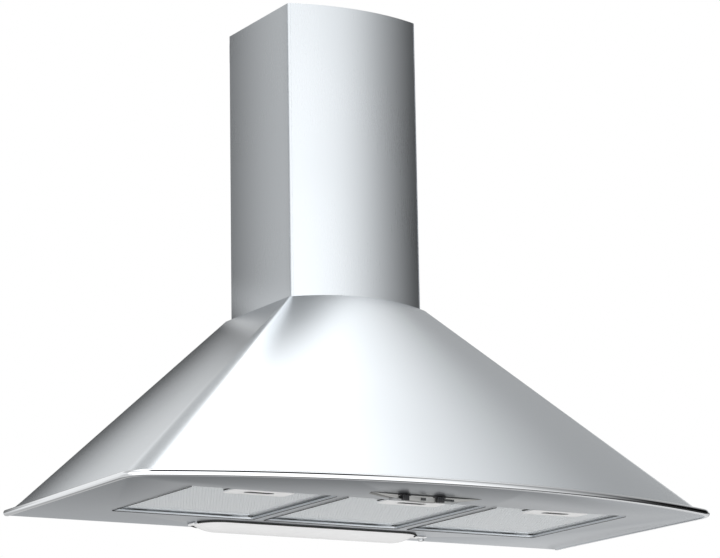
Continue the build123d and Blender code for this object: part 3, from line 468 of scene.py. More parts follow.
def plan(half, front, radius, corner, back, side_steps, corner_steps, front_steps):
    """Points from the right back edge round the front to the left back edge, in mm."""
    centre_y = front + radius
    corner_x = half - corner
    corner_y = centre_y - math.sqrt((radius - corner) ** 2 - corner_x**2)
    bow = math.asin(corner_x / (radius - corner))
    points = [(half, back + (corner_y - back) * t) for t in side_steps]
    for t in corner_steps[1:]:
        angle = t * (math.pi / 2 - bow)
        points.append((corner_x + corner * math.cos(angle), corner_y - corner * math.sin(angle)))
    for t in front_steps[1:]:
        angle = bow * (1 - 2 * t)
        points.append((radius * math.sin(angle), centre_y - radius * math.cos(angle)))
    left = [(-x, y) for x, y in points[: len(side_steps) + len(corner_steps) - 2]]
    return points + left[::-1]


RIM_CORNER, FOOT_CORNER = 42.0, 48.0
SIDE = spread(10, 0.004)
CORNER = spread(20)
FRONT = spread(48, 0.002)
print(len(plan(435, -472, 1060, FOOT_CORNER, -1.2, SIDE, CORNER, FRONT)), "columns round the plan")


# %% [markdown]
# ## Canopy
# The real canopy is one sheet: flat sides, a bowed front, and corners that open from a
# sharp fold at the chimney to a rounder one at the rim. Straight lines join the lower
# outline to the upper one, so the mesh is rows of points slid along those lines. It ends
# in a small ledge for the chimney above and in folded returns at the wall.
# %% Canopy
FOOT_HALF, FOOT_Z, TOP_HALF, TOP_Z = 435.0, 9.5, 102.0, 304.0
RETURN_WIDTH = 18.0
SEAM_SIDE, SEAM_ARCH, SEAM_HALF = 297.5, 5.5, 108.0


def seam_height(x):
    """Height of the arched joint between canopy and chimney."""
    radius = (SEAM_HALF**2 + SEAM_ARCH**2) / (2 * SEAM_ARCH)
    inside = min(abs(x), SEAM_HALF)
    return SEAM_SIDE + SEAM_ARCH - radius + math.sqrt(radius**2 - inside**2)


def make_canopy():
    rows = 28
    foot = plan(FOOT_HALF, -472, 1060, FOOT_CORNER, -1.2, SIDE, CORNER, FRONT)
    top = plan(TOP_HALF, -205, 229, 2.5, -1.2, SIDE, CORNER, FRONT)
    ledge = plan(98, -195, 301.6, 2, -1.2, SIDE, CORNER, FRONT)
    columns = []
    for (fx, fy), (tx, ty), (lx, ly) in zip(foot, top, ledge):
        reach = 0.97  # a first guess of where the line meets the arched joint
        for _ in range(6):
            x = fx + (tx - fx) * reach
            reach = (seam_height(x) - FOOT_Z) / (TOP_Z - FOOT_Z)
        column = []
        for r in range(rows + 1):
            v = reach * r / rows
            column.append((fx + (tx - fx) * v, fy + (ty - fy) * v, FOOT_Z + (TOP_Z - FOOT_Z) * v))
        x, y, z = column[-1]
        column.append((lx, ly, z))
        columns.append(column)
    first, last = columns[0], columns[-1]
    inner_right = [(x - RETURN_WIDTH, y, z) for x, y, z in first[:-1]]
    inner_left = [(x + RETURN_WIDTH, y, z) for x, y, z in last[:-1]]
    columns = [inner_right + inner_right[-1:], *columns, inner_left + inner_left[-1:]]
    points = drawn(point for column in columns for point in column)
    faces = [face[::-1] for face in grid_faces(len(columns), rows + 2)]
    sheet = thickened(mesh_from("canopy_sheet", points, faces), 0.001, 32.0)
    return piece("canopy_sheet", sheet, "hood", canopy_steel, ("canopy_shell",))


canopy = make_canopy()
print("canopy faces", len(canopy.data.polygons))


# %% [markdown]
# ## Chimney
# The chimney is a folded cover, open at the wall, with a bowed front. A rounded strip
# runs down each front corner between two fine joint lines. The cover is a ring of points
# in plan, outer face and inner face, drawn upwards; each joint line is a small notch in
# the outer face.
# %% Chimney
CHIMNEY_TOP = 722.0


def with_joint_lines(outline, places, width=1.0, depth=0.55):
    """Cuts a narrow notch into an outline at the given points."""
    result = []
    for i, (x, y) in enumerate(outline):
        if i not in places:
            result.append((x, y))
            continue
        (ax, ay), (bx, by) = outline[i - 1], outline[i + 1]
        length = math.hypot(bx - ax, by - ay)
        tx, ty = (bx - ax) / length, (by - ay) / length
        for side, deep in ((-0.5, 0), (-0.5, 1), (0.5, 1), (0.5, 0)):
            along, inward = side * width, deep * depth
            result.append((x + tx * along + ty * inward, y + ty * along - tx * inward))
    return result


def make_chimney():
    """The wall is 0.8 mm thick, so each measure of the inner outline is 0.8 mm less."""
    bends, rows = 8, 14
    first = len(SIDE) - 1
    places = {first, first + bends}
    outer = plan(104, -200.5, 301.6, 4.0, -6.0, SIDE, spread(bends), FRONT)
    inner = plan(103.2, -199.7, 300.8, 3.2, -6.0, SIDE, spread(bends), FRONT)
    places |= {len(outer) - 1 - i for i in places}
    outer = with_joint_lines(outer, places)
    inner = with_joint_lines(inner, places, depth=0.0)
    count, ring = len(outer), outer + inner[::-1]
    points = []
    for r in range(rows + 1):
        for x, y in ring:
            low = seam_height(x)
            points.append((x, y, low + (CHIMNEY_TOP - low) * r / rows))
    faces = grid_faces(rows + 1, 2 * count, closed=True)
    for base in (0, rows * 2 * count):
        opposite = base + 2 * count - 1
        for i in range(count - 1):
            faces.append((base + i, base + i + 1, opposite - i - 1, opposite - i))
    mesh = smooth(outward(mesh_from("chimney_cover", drawn(points), faces)), 32.0)
    return piece("chimney_cover", mesh, "hood", chimney_steel, ("chimney_lower",))


chimney = make_chimney()
print("chimney faces", len(chimney.data.polygons))


# %% [markdown]
# ## Geometry Nodes workshop
# Two small trees do the repeating work of this hood. One bends a profile round a path, as
# a roll former does. The other sets copies of a part on points. Both are given their
# sizes and finish by name, end in plain geometry, and are turned into a mesh at once.
# %% Node trees
def new_tree(name, inputs):
    """A geometry tree with a geometry input and output, and the given named inputs."""
    tree = bpy.data.node_groups.new(name, "GeometryNodeTree")
    socket(tree, "Geometry", "Geometry")
    for label, kind in inputs:
        socket(tree, label, kind)
    socket(tree, "Geometry", "Geometry", "OUTPUT")
    return tree, tree.nodes.new("NodeGroupInput"), tree.nodes.new("NodeGroupOutput")


def close_tree(tree, start, end, geometry):
    """Realize Instances and Set Material, which every tree ends in."""
    solid = put(tree, "GeometryNodeRealizeInstances")
    coat = put(tree, "GeometryNodeSetMaterial")
    tree.links.new(geometry, solid.inputs[0])
    tree.links.new(solid.outputs[0], coat.inputs["Geometry"])
    tree.links.new(start.outputs["Finish"], coat.inputs["Material"])
    tree.links.new(coat.outputs[0], end.inputs[0])


def make_bender():
    """Sweeps a profile along a path, and keeps the profile upright."""
    tree, start, end = new_tree("bend_profile", (("Profile", "Object"), ("Finish", "Material")))
    link = tree.links.new
    path = put(tree, "GeometryNodeMeshToCurve")
    level_path = put(tree, "GeometryNodeSetCurveNormal", mode="Z_UP")
    source = put(tree, "GeometryNodeObjectInfo")
    section = put(tree, "GeometryNodeMeshToCurve")
    sweep = put(tree, "GeometryNodeCurveToMesh")
    sweep.inputs["Fill Caps"].default_value = True
    link(start.outputs["Geometry"], path.inputs[0])
    link(path.outputs[0], level_path.inputs["Curve"])
    link(level_path.outputs[0], sweep.inputs["Curve"])
    link(start.outputs["Profile"], source.inputs["Object"])
    link(source.outputs["Geometry"], section.inputs[0])
    link(section.outputs[0], sweep.inputs["Profile Curve"])
    close_tree(tree, start, end, sweep.outputs[0])
    return tree


def make_setter():
    """Sets a turned and scaled copy of a part on every point."""
    inputs = (("Part", "Object"), ("Turn", "Vector"), ("Size", "Float"), ("Finish", "Material"))
    tree, start, end = new_tree("set_copies", inputs)
    link = tree.links.new
    source = put(tree, "GeometryNodeObjectInfo")
    source.inputs["As Instance"].default_value = True
    aim = put(tree, "FunctionNodeEulerToRotation")
    copies = put(tree, "GeometryNodeInstanceOnPoints")
    link(start.outputs["Part"], source.inputs["Object"])
    link(start.outputs["Turn"], aim.inputs[0])
    link(start.outputs["Geometry"], copies.inputs["Points"])
    link(source.outputs["Geometry"], copies.inputs["Instance"])
    link(aim.outputs[0], copies.inputs["Rotation"])
    link(start.outputs["Size"], copies.inputs["Scale"])
    close_tree(tree, start, end, copies.outputs[0])
    return tree


def grown(tree, mesh, values, angle=FOLD_ANGLE):
    """Runs a tree on a mesh and returns the plain mesh that it makes."""
    sockets = [item for item in tree.interface.items_tree if item.in_out == "INPUT"]
    inputs = [(item.identifier, values[item.name]) for item in sockets if item.name in values]
    return worked(mesh, "NODES", {"node_group": tree}, angle, inputs)


def wire(name, points, closed=False):
    """A mesh of points joined by edges, for a tree to read."""
    mesh = bpy.data.meshes.new(name)
    edges = [(i, i + 1) for i in range(len(points) - 1)]
    mesh.from_pydata(points, edges + ([(len(points) - 1, 0)] if closed else []), [])
    return mesh


BENDER, SETTER = make_bender(), make_setter()
print("trees", BENDER.name, SETTER.name)


# %% [markdown]
# ## Rim trim
# A polished profile is bent round the hood's lower edge. It has a tall round nose, and
# the canopy stands on its flat top. The profile is drawn once and the first tree carries
# it along the outline. A tree's profile lies in the XY plane, with down as plus Y.
# %% Rim trim
def nose_arc(reach, low, high, count):
    """Points of the half-round nose, from its top to its bottom."""
    middle, half = (low + high) / 2, (high - low) / 2
    turns = [math.pi / 2 - math.pi * i / count for i in range(count + 1)]
    return [(reach * math.cos(a), middle + half * math.sin(a)) for a in turns]


def make_trim():
    section = [(-15, 9.5), (-11.2, 9.5), (-10.5, 9.45), (-0.6, 8.47)]
    section += nose_arc(4.0, 0.0, 8.4, 20)
    section += [(-3, 0), (-3, 1)] + nose_arc(3.0, 1.0, 7.4, 12)[::-1] + [(-10.7, 8.5), (-15, 8.5)]
    section = [(u * MM, -v * MM, 0) for u, v in section]
    profile = placed("trim_profile", wire("trim_profile", section, closed=True))
    outline = plan(446, -483, 1071, RIM_CORNER, -1.2, SIDE, spread(28), spread(64, 0.002))
    path = wire("trim_path", drawn((x, y, 0) for x, y in outline[::-1]))
    mesh = grown(BENDER, path, {"Profile": profile, "Finish": polished_steel}, 40.0)
    bpy.data.objects.remove(profile)
    mesh = smooth(outward(mesh), 40.0)
    return piece("rim_trim_polished", mesh, "hood", polished_steel, ("rim_trim",))


trim = make_trim()
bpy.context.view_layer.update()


# %% [markdown]
# ## Underside panel
# The panel is a flat sheet with three flanged wells. It is shown through a softened copy
# of its solid, cut to the rim's round corners. Thin black strips lie along the walls of
# each well, where the filter's edges rest; they are painted shade, and draw the dark
# shadow lines round the filters.
# %% Underside panel
def slab(name, outline, low, high):
    """A flat plate between two heights, with the given outline."""
    count = len(outline)
    points = [(x, y, z) for z in (low, high) for x, y in outline]
    faces = grid_faces(2, count, closed=True) + [ring_face(0, count), ring_face(1, count)]
    return outward(mesh_from(name, drawn(points), faces))


inside_rim = plan(443, -480, 1068, RIM_CORNER - 3.0, -0.5, SIDE, spread(28), spread(64, 0.002))
inside_rim = slab("inside_rim", inside_rim, -5.0, 60.0)
blank = pierced(copy_of("underside_panel"), inside_rim, "INTERSECT")
underside = dressed("underside_panel", panel_steel, 0.0004, blank)


def well_shade_strips(x):
    """Painted shade: two strips up each wall that shows, and one at the near edge of the left wall.
    """
    rear = [(x - 106, x + 106, -100.9, -100.1, z, z + 0.6) for z in (0.1, 3.8)]
    far = [(x + 105.7, x + 106.4, -333, -101, z, z + 0.5) for z in (0.1, 4.0)]
    return rear + far + [(x - 106.4, x - 105.7, -333, -101, 0.1, 0.9)]


# Black strips as painted shade round the filters.
well_shade_bars = bars("well_seals", [box for x in SIDES.values() for box in well_shade_strips(x)])
piece("well_seals", well_shade_bars, "hood", black_rubber)
print("panel faces", len(underside.data.polygons))


# %% [markdown]
# ## Grease filters
# Each filter is a channel frame round a pad of aluminium mesh. The skins are perforated
# sheet: one small cell with a six-sided hole is drawn once, and the second tree sets it
# on a staggered grid. Small dark marks show on each frame, beside its handle and at its
# right rear corner: a black tab for each, the rear one in a notch. The tabs are painted
# shade, for the shadow beside the handle and the dark inside of the notch.
# %% Perforated skins
PITCH, HOLE, SKIN = 4.4, 0.85, 0.6
SKIN_HALF, SKIN_FRONT, SKIN_BACK = 103.0, -331.0, -104.0
CLEAR_HALF, CLEAR_BACK = 28.0, -288.0  # the handle's pocket, where no cells are set


def make_cell():
    """A square of sheet with a hole: its face, and the wall of the hole."""
    h = PITCH / 2
    rim = [(h, 0), (h, h), (-h, h), (-h, 0), (-h, -h), (h, -h)]
    turns = [math.radians(a) for a in range(0, 360, 60)]
    hole = [(HOLE * math.cos(a), HOLE * math.sin(a)) for a in turns]
    points = [(x * MM, y * MM, 0) for x, y in rim + hole]
    points += [(x * MM, y * MM, -SKIN * MM) for x, y in hole]
    faces = []
    for i in range(6):
        j = (i + 1) % 6
        faces += [(i, j, 6 + j, 6 + i), (6 + i, 6 + j, 12 + j, 12 + i)]
    mesh = bpy.data.meshes.new("skin_cell")
    mesh.from_pydata(points, [], faces)
    return placed("skin_cell", mesh)


def skin_points(x, z):
    """The places of the cells, in rows shifted by half a cell."""
    rows, columns = int((SKIN_BACK - SKIN_FRONT) / PITCH), int(2 * SKIN_HALF / PITCH)
    points = []
    for row in range(rows):
        for column in range(columns):
            px = x - SKIN_HALF + PITCH * (column + 0.5 + 0.5 * (row % 2))
            py = SKIN_FRONT + PITCH * (row + 0.5)
            if abs(px - x) >= CLEAR_HALF or py >= CLEAR_BACK:
                points.append((px, py, z))
    mesh = bpy.data.meshes.new("skin_points")
    mesh.from_pydata(drawn(points), [], [])
    return mesh, len(points)


cell = make_cell()


def make_skins(side, x):
    """The lower skin faces down and the upper one up; the walls of the holes point inwards."""
    skins = []
    for z, turn_x in ((6.05, math.pi), (12.95, 0.0)):
        points, count = skin_points(x, z)
        settings = {"Part": cell, "Turn": (turn_x, 0.0, 0.0), "Size": 1.0, "Finish": mesh_aluminium}
        skins.append(grown(SETTER, points, settings))
    name, body, stands_for = "filter_skins_" + side, "filter_" + side, ("filter_mesh_" + side,)
    mesh = smooth(joined(name, skins, merge=2e-6))
    piece(name, mesh, body, mesh_aluminium, stands_for)
    return count


for side, x in SIDES.items():
    print(side, "holes in each skin", make_skins(side, x))
bpy.data.objects.remove(cell)


# %% Filter frames and handles
def make_frame(side, x):
    notch = bars("notch", [(x + 95.5, x + 103.5, -108.5, -103.0, 3.0, 6.5)])
    mesh = pierced(copy_of("filter_frame_" + side), notch)
    dressed("filter_frame_" + side, frame_aluminium, 0.0002, mesh)
    dressed("filter_latch_" + side, handle_white, 0.0002)
    # The black strip in the handle's slot is painted shade: the dark gap between the handle's lip
    # and plate.
    slot = bars("handle_slot_shade", [(x - 23, x + 23, -324, -308, 1.9, 2.3)])
    piece("handle_slot_" + side, slot, "handle_" + side, black_rubber)
    # Black tabs as painted shade: the shadow beside the handle, and the dark inside of the rear
    # notch.
    beside_handle = (x - 44, x - 42, -331.5, -300.5, 4.0, 5.1)
    in_notch = (x + 97.5, x + 103.5, -108.0, -104.0, 4.2, 5.2)
    shade_tabs = bars("filter_shade_tabs", [beside_handle, in_notch])
    piece("filter_tabs_" + side, shade_tabs, "filter_" + side, black_rubber)


for side, x in SIDES.items():
    make_frame(side, x)
print("filters framed")


# %% [markdown]
# ## Controls
# A shallow housing hangs under the panel behind the front rim. Its face is a flat
# segment of a circle; a thin black strip above it is painted shade, the shadow line of
# its joint with the panel. Two sliders run in slots, and a row of fine bars behind the
# fan slider marks its steps. The second tree sets the bars.
# %% Controls
FASCIA_X, FASCIA_FRONT = -18.5, -386.5
LIGHT_X, FAN_X, KNOB_Z = -53.5, 0.0, -3.4
dressed("control_fascia", fascia_satin, 0.0003)
dressed("light_slider", black_plastic, 0.0002)
dressed("fan_slider", black_plastic, 0.0002)


def make_joint_shade():
    """A black strip along the housing's upper front edge, tapered at both ends: painted shade for
    the joint's shadow line.
    """
    count, half = 24, 84.5
    points = []
    for i in range(count + 1):
        t = 2 * i / count - 1
        drop = 1.3 * (1 - t**4)
        x = FASCIA_X + half * t
        points += [(x, FASCIA_FRONT - 0.5, 1.0), (x, FASCIA_FRONT - 0.5, 1.0 - drop)]
        points += [(x, FASCIA_FRONT + 0.4, 1.0 - drop), (x, FASCIA_FRONT + 0.4, 1.0)]
    faces = grid_faces(count + 1, 4, closed=True) + [ring_face(0, 4), ring_face(count, 4)]
    mesh = outward(mesh_from("fascia_gasket", drawn(points), faces))
    return piece("fascia_gasket", smooth(mesh), "hood", black_rubber)


def make_fan_marks():
    """Eight fine bars, 2.2 mm apart. 200 is the drawing's height of the part's own origin."""
    marker = placed("mark", bars("mark", [(-0.35, 0.35, -0.02, 0.5, 199.2, 200.8)]))
    points = bpy.data.meshes.new("mark_points")
    places = [(FAN_X + 5.5 + 2.2 * i, FASCIA_FRONT, KNOB_Z - 2.6) for i in range(8)]
    points.from_pydata(drawn(places), [], [])
    settings = {"Part": marker, "Turn": (0.0, 0.0, 0.0), "Size": 1.0, "Finish": grey_plastic}
    mesh = grown(SETTER, points, settings)
    bpy.data.objects.remove(marker)
    return piece("fan_marks", mesh, "hood", grey_plastic)


def make_slider_cap(node, x):
    """The wide plate behind a slider's knob, which keeps its slot closed."""
    box = (x - 9, x + 9, FASCIA_FRONT - 1.6, FASCIA_FRONT - 0.3, -1.4, 0.2)
    plate = softened(bars(node + "_plate", [box]), 0.0002)
    piece(node + "_plate", plate, nodes[node]["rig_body"], black_plastic)


make_slider_cap("light_slider", LIGHT_X)
make_slider_cap("fan_slider", FAN_X)
make_joint_shade()
marks = make_fan_marks()
print("mark bars", len(marks.data.polygons) // 6)


# %% [markdown]
# ## Lamp cover
# The cover is a long pillow of opal plastic with round ends, held by a hook at the left
# and a screw at the right. Its mesh is a set of rings round the middle line, each at the
# height of a shallow arc. A black strip runs round it as painted shade: it makes the dark
# shadow line along the cover's front.
# %% Lamp cover
LAMP_Y, LAMP_SHIFT = -41.0, -7.0


def stadium_ring(run, radius, steps=24):
    """Points round a long slot shape with round ends."""
    ring = []
    for end, start in ((run, -math.pi / 2), (-run, math.pi / 2)):
        for i in range(steps + 1):
            a = start + math.pi * i / steps
            ring.append((end + radius * math.cos(a), radius * math.sin(a)))
    return ring


def make_lamp_cover():
    depth, bulge, top, run, steps = 35.0, 11.0, 0.6, 140.0, 14
    radius = (depth**2 + bulge**2) / (2 * bulge)
    half_angle = math.asin(depth / radius)
    points = []
    for k in range(steps + 1):
        a = half_angle * (1 - k / steps)
        reach = max(radius * math.sin(a), 0.05)
        z = top - bulge + radius - radius * math.cos(a)
        points += [(x + LAMP_SHIFT, LAMP_Y + y, z) for x, y in stadium_ring(run, reach)]
    count = len(points) // (steps + 1)
    faces = grid_faces(steps + 1, count, closed=True) + [ring_face(steps, count)]
    faces = [face[::-1] for face in faces]
    shell = thickened(mesh_from("lamp_cover", drawn(points), faces), 0.0018, 40.0)
    screw_lug = (161.0, 189.0, -48.0, -34.0, -1.4, 0.6)
    hook = (-186.0, -178.0, -50.0, -32.0, -2.2, -0.4)
    ends = softened(bars("cover_ends", [screw_lug, hook]), 0.0008)
    barrel = turned("barrel", [(0, 1.9), (18, 1.9)], 20, (-186.0, -50.0, -1.3), (0, 1, 0))
    name = "lamp_cover_opal"
    mesh = smooth(joined(name, (shell, ends, barrel)), 40.0)
    return piece(name, mesh, "lamp_lid", opal_plastic, ("lamp_cover",))


def make_lamp_gap_shade():
    """A black strip round the cover, painted shade for the gap round it; the last row of points
    closes it on the first.
    """
    rows = [(35.0, 0.9), (36.0, 0.9), (36.2, -0.4), (36.0, -1.4), (35.3, -1.4), (34.9, -0.4)]
    rows.append(rows[0])
    points = []
    for radius, z in rows:
        points += [(x + LAMP_SHIFT, LAMP_Y + y, z) for x, y in stadium_ring(140.0, radius, 32)]
    count = len(points) // len(rows)
    faces = grid_faces(len(rows), count, closed=True)
    mesh = smooth(outward(mesh_from("lamp_seal", drawn(points), faces)), 40.0)
    return piece("lamp_seal", mesh, "lamp_lid", black_rubber)


lamp_cover = make_lamp_cover()
make_lamp_gap_shade()
dressed("lamp_screw", zinc_steel, 0.0002)
print("lamp cover faces", len(lamp_cover.data.polygons))


# %% Lamps behind the cover
def make_lamps():
    """Two candle lamps with screw caps, lying tip to tip in the tray."""
    cap = [(0, 2.0), (1.2, 5.5), (3.0, 7.0)]
    for i in range(6):
        base = 3.5 + 3.2 * i
        cap += [(base, 6.6), (base + 0.9, 7.4), (base + 1.9, 7.4), (base + 2.8, 6.6)]
    cap += [(24, 7.4)]
    glass = [(24, 7.6), (28, 9.5), (33, 13.2), (39, 16.2), (45, 17.4), (51, 17.3), (58, 15.8)]
    glass += [(65, 13.2), (72, 10.0), (79, 6.9), (86, 4.3), (92, 2.4), (95.2, 1.3), (96, 0.3)]

    def pair(name, profile):
        ends = [((-168.0 * way, LAMP_Y, 25.0), (way, 0, 0)) for way in (1, -1)]
        parts = [turned(name, profile, 32, place, axis) for place, axis in ends]
        return smooth(joined(name, parts), 40.0)

    bulbs, caps = pair("candle_bulbs", glass), pair("candle_caps", cap)
    piece("candle_bulbs", bulbs, "hood", opal_glass, ("candle_lamps",))
    piece("candle_caps", caps, "hood", zinc_steel)


make_lamps()
print("lamps in")


# %% [markdown]
# ## Fasteners
# The rear panel is riveted to the canopy's folded returns. One rivet head is turned and
# the second tree sets it on its places, aimed away from the sheet.
# %% Fasteners
def rivet_head(radius, height):
    """Low dome with a small hole left by the mandrel."""
    profile = [(0.0, 1.0), (0.35, 1.0), (0.8, 0.72), (1.0, 0.36), (0.9, 0.3), (0.4, 0.28)]
    points, steps = [], 20
    for rise_part, reach_part in profile:
        reach, z = radius * reach_part * MM, height * rise_part * MM
        for i in range(steps):
            a = 2 * math.pi * i / steps
            points.append((reach * math.cos(a), reach * math.sin(a), z))
    faces = grid_faces(len(profile), steps, closed=True)
    faces += [ring_face(0, steps)[::-1], ring_face(len(profile) - 1, steps)]
    return placed("rivet", smooth(outward(mesh_from("rivet", points, faces)), 40.0))


slope = (FOOT_HALF - TOP_HALF) / (TOP_Z - FOOT_Z)
rivet_places = []
for z in (40, 125, 210, 285):
    x = TOP_HALF + slope * (TOP_Z - z) - RETURN_WIDTH / 2
    rivet_places += [(x, -2.2, z), (-x, -2.2, z)]
points = bpy.data.meshes.new("rivet_places")
points.from_pydata(drawn(rivet_places), [], [])
away = tuple(Vector((0, -1, 0)).to_track_quat("Z", "Y").to_euler())
rivet = rivet_head(3.2, 1.2)
rivets = grown(SETTER, points, {"Part": rivet, "Turn": away, "Size": 1.0, "Finish": zinc_steel})
bpy.data.objects.remove(rivet)
piece("back_rivets", rivets, "hood", zinc_steel, ("rear_rivets",))
print(len(rivet_places), "rivets")

# %% [markdown]
# ## The remaining solids
# Hidden hardware whose solid already has the right shape only takes a finish. The mesh
# of such a solid is never changed.
# %% Finishes for the carried-over solids
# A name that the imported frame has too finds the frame's own plain material.
PLAIN = {
    "galvanised": "rear_panel blower_deck lamp_tray chimney_bracket motor_bracket impeller"
    " capacitor_clip",
    "zinc_steel": "bracket_screws blower_screws collar_screws flap_pins lamp_hinge motor_shaft"
    " motor_bearings",
    "chimney_steel": "chimney_upper",
    "grey_plastic": "light_switch fan_switch blower_housing_left blower_housing_right outlet_collar",
    "white_plastic": "lamp_holders electrical_box electrical_cover terminal_block capacitor"
    " damper_flap_front damper_flap_rear",
    "dark_lens": "indicator_lens",
    "black_rubber": "cable_gland",
    "motor_paint": "blower_motor",
    "spring_steel": "latch_spring_left latch_spring_middle latch_spring_right",
    "mesh_aluminium": "filter_core_left filter_core_middle filter_core_right",
}
for coat, members in PLAIN.items():
    for node in members.split():
        nodes[node].data.materials.clear()
        nodes[node].data.materials.append(bpy.data.materials[coat])
print(sum(len(members.split()) for members in PLAIN.values()), "solids took a finish")

# %% [markdown]
# ## Studio
# Metal shows its surroundings, so the room matters more than the lamps. The hood hangs in
# a white tent that is greyer on its right side and behind it; the camera sees plain
# white. A card stands where the kitchen wall would be.
# %% World
TENT_STRENGTH, ROOM_STRENGTH = 2.0, 0.85  # what metal mirrors, and what lights the rest
world = bpy.data.worlds.new("studio")
bpy.context.scene.world = world
world.use_nodes = True
tree = world.node_tree
tree.nodes.clear()
direction = put(tree, "ShaderNodeTexCoord").outputs["Generated"]


def toward(axis):
    """How far a direction points along an axis, from -1 to 1."""
    dot = put(tree, "ShaderNodeVectorMath", operation="DOT_PRODUCT")
    dot.inputs[1].default_value = Vector(axis).normalized()
    tree.links.new(direction, dot.inputs[0])
    return dot.outputs["Value"]


def curve(value, stops):
    """Straight lines between (position, value) stops; 0 is away and 1 is toward."""
    ramp = put(tree, "ShaderNodeValToRGB")
    ramp.color_ramp.interpolation = "LINEAR"
    elements = ramp.color_ramp.elements
    elements.remove(elements[-1])
    for i, (position, tone) in enumerate(stops):
        element = elements[0] if i == 0 else elements.new(position)
        element.position = position
        element.color = (tone, tone, tone, 1.0)
    tree.links.new(times(tree, plus(tree, value, 1.0), 0.5), ramp.inputs["Fac"])
    return ramp.outputs["Color"]


height = toward((0.0, 0.0, 1.0))
# The tent: greyer to the right, behind the hood and half-way up.
right_stops = [(0.0, 0.66), (0.50, 0.82), (0.58, 0.80), (0.70, 0.68), (0.81, 0.46)]
right_stops += [(0.893, 0.25), (0.94, 0.15), (0.966, 0.07), (0.984, 0.01), (1.0, 0.0)]
right_side = curve(toward((0.98, -0.12, 0.15)), right_stops)
behind = curve(toward((0.0, 1.0, -0.15)), [(0.6, 1.0), (0.8, 0.62), (0.95, 0.42), (1.0, 0.38)])
aloft = curve(height, [(0.66, 1.0), (0.76, 0.56), (0.87, 0.58), (0.94, 0.80), (0.98, 1.0)])
# Light from straight above, and the least that the tent gives high up.
above = curve(toward((0.1, 0.0, 1.0)), [(0.86, 0.0), (0.93, 0.14), (1.0, 0.34)])
least = curve(height, [(0.70, 0.0), (0.76, 0.20)])
tent = plus(tree, times(tree, right_side, behind, aloft), above)
tent = math_node(tree, "MAXIMUM", tent, least)
# Two dark parts: low behind the hood and to its right, and high in front of it.
low_part = curve(height, [(0.50, 1.0), (0.56, 0.0)])
far_right = curve(toward((0.5, 0.866, 0.0)), [(0.49, 0.0), (0.60, 1.0)])
low_right = times(tree, low_part, far_right, 0.9)
beside_stops = [(0.25, 0.0), (0.37, 1.0), (0.66, 1.0), (0.70, 0.0)]
beside = curve(toward((-0.965, 0.2125, 0.154)), beside_stops)
raised = curve(height, [(0.68, 0.0), (0.73, 1.0)])
facing = curve(toward((0.0, -1.0, 0.0)), [(0.55, 0.0), (0.62, 1.0)])
dark = times(tree, beside, raised, facing)
keep = math_node(tree, "SUBTRACT", 1.0, math_node(tree, "MAXIMUM", dark, low_right))
tent = times(tree, tent, keep, TENT_STRENGTH)
path = put(tree, "ShaderNodeLightPath")
seen, seen_through = path.outputs["Is Camera Ray"], path.outputs["Is Transmission Ray"]
clear = math_node(tree, "MAXIMUM", seen, seen_through)
link = tree.links.new
plain = put(tree, "ShaderNodeMix", data_type="FLOAT")
plain.inputs[2].default_value = ROOM_STRENGTH
link(path.outputs["Is Glossy Ray"], plain.inputs[0])
link(tent, plain.inputs[3])
final = put(tree, "ShaderNodeMix", data_type="FLOAT")
final.inputs[3].default_value = 1.0
link(clear, final.inputs[0])
link(plain.outputs[0], final.inputs[2])
background = put(tree, "ShaderNodeBackground")
background.inputs["Color"].default_value = (1.0, 1.0, 1.0, 1.0)
link(final.outputs[0], background.inputs["Strength"])
link(background.outputs[0], put(tree, "ShaderNodeOutputWorld").inputs["Surface"])
print("world nodes", len(tree.nodes))


# %% Floor
FLOOR_REACH, FLOOR_Z = 16.0, -4.2


def flat(name, corners, material):
    """A square that belongs to the studio and not to the hood."""
    obj = placed(name, mesh_from(name, corners, [(0, 1, 2, 3)]))
    obj.data.materials.append(material)
    return obj


corners = [(-1, -1), (1, -1), (1, 1), (-1, 1)]
corners = [(x * FLOOR_REACH, y * FLOOR_REACH, FLOOR_Z) for x, y in corners]
floor = flat("floor", corners, moulded("floor_paint", (0.86, 0.86, 0.86), 0.8, scale=40.0, bump=0.0))
floor.visible_glossy = False  # the metal mirrors the tent, which has its own dark parts
print("floor at", FLOOR_Z)


# %% [markdown]
# The card's brightness is drawn from its own X and Z. Above the rim a dim strip close to
# the hood is painted shade, the hood's shadow on the wall, and it darkens the sheet's rear
# edges; below the rim is what the underside mirrors.
# %% Wall card
CARD_HALF, CARD_Y, CARD_LOW, CARD_HIGH = 1.6, 0.03, -1.3, 0.7
RIM_END, CHIMNEY_SIDE, RIM_HEIGHT = 0.45, 0.104, -0.2
HIP_LEAN, HIP_REACH, HIP_COSINE = 1.1138, 0.2168, 0.668


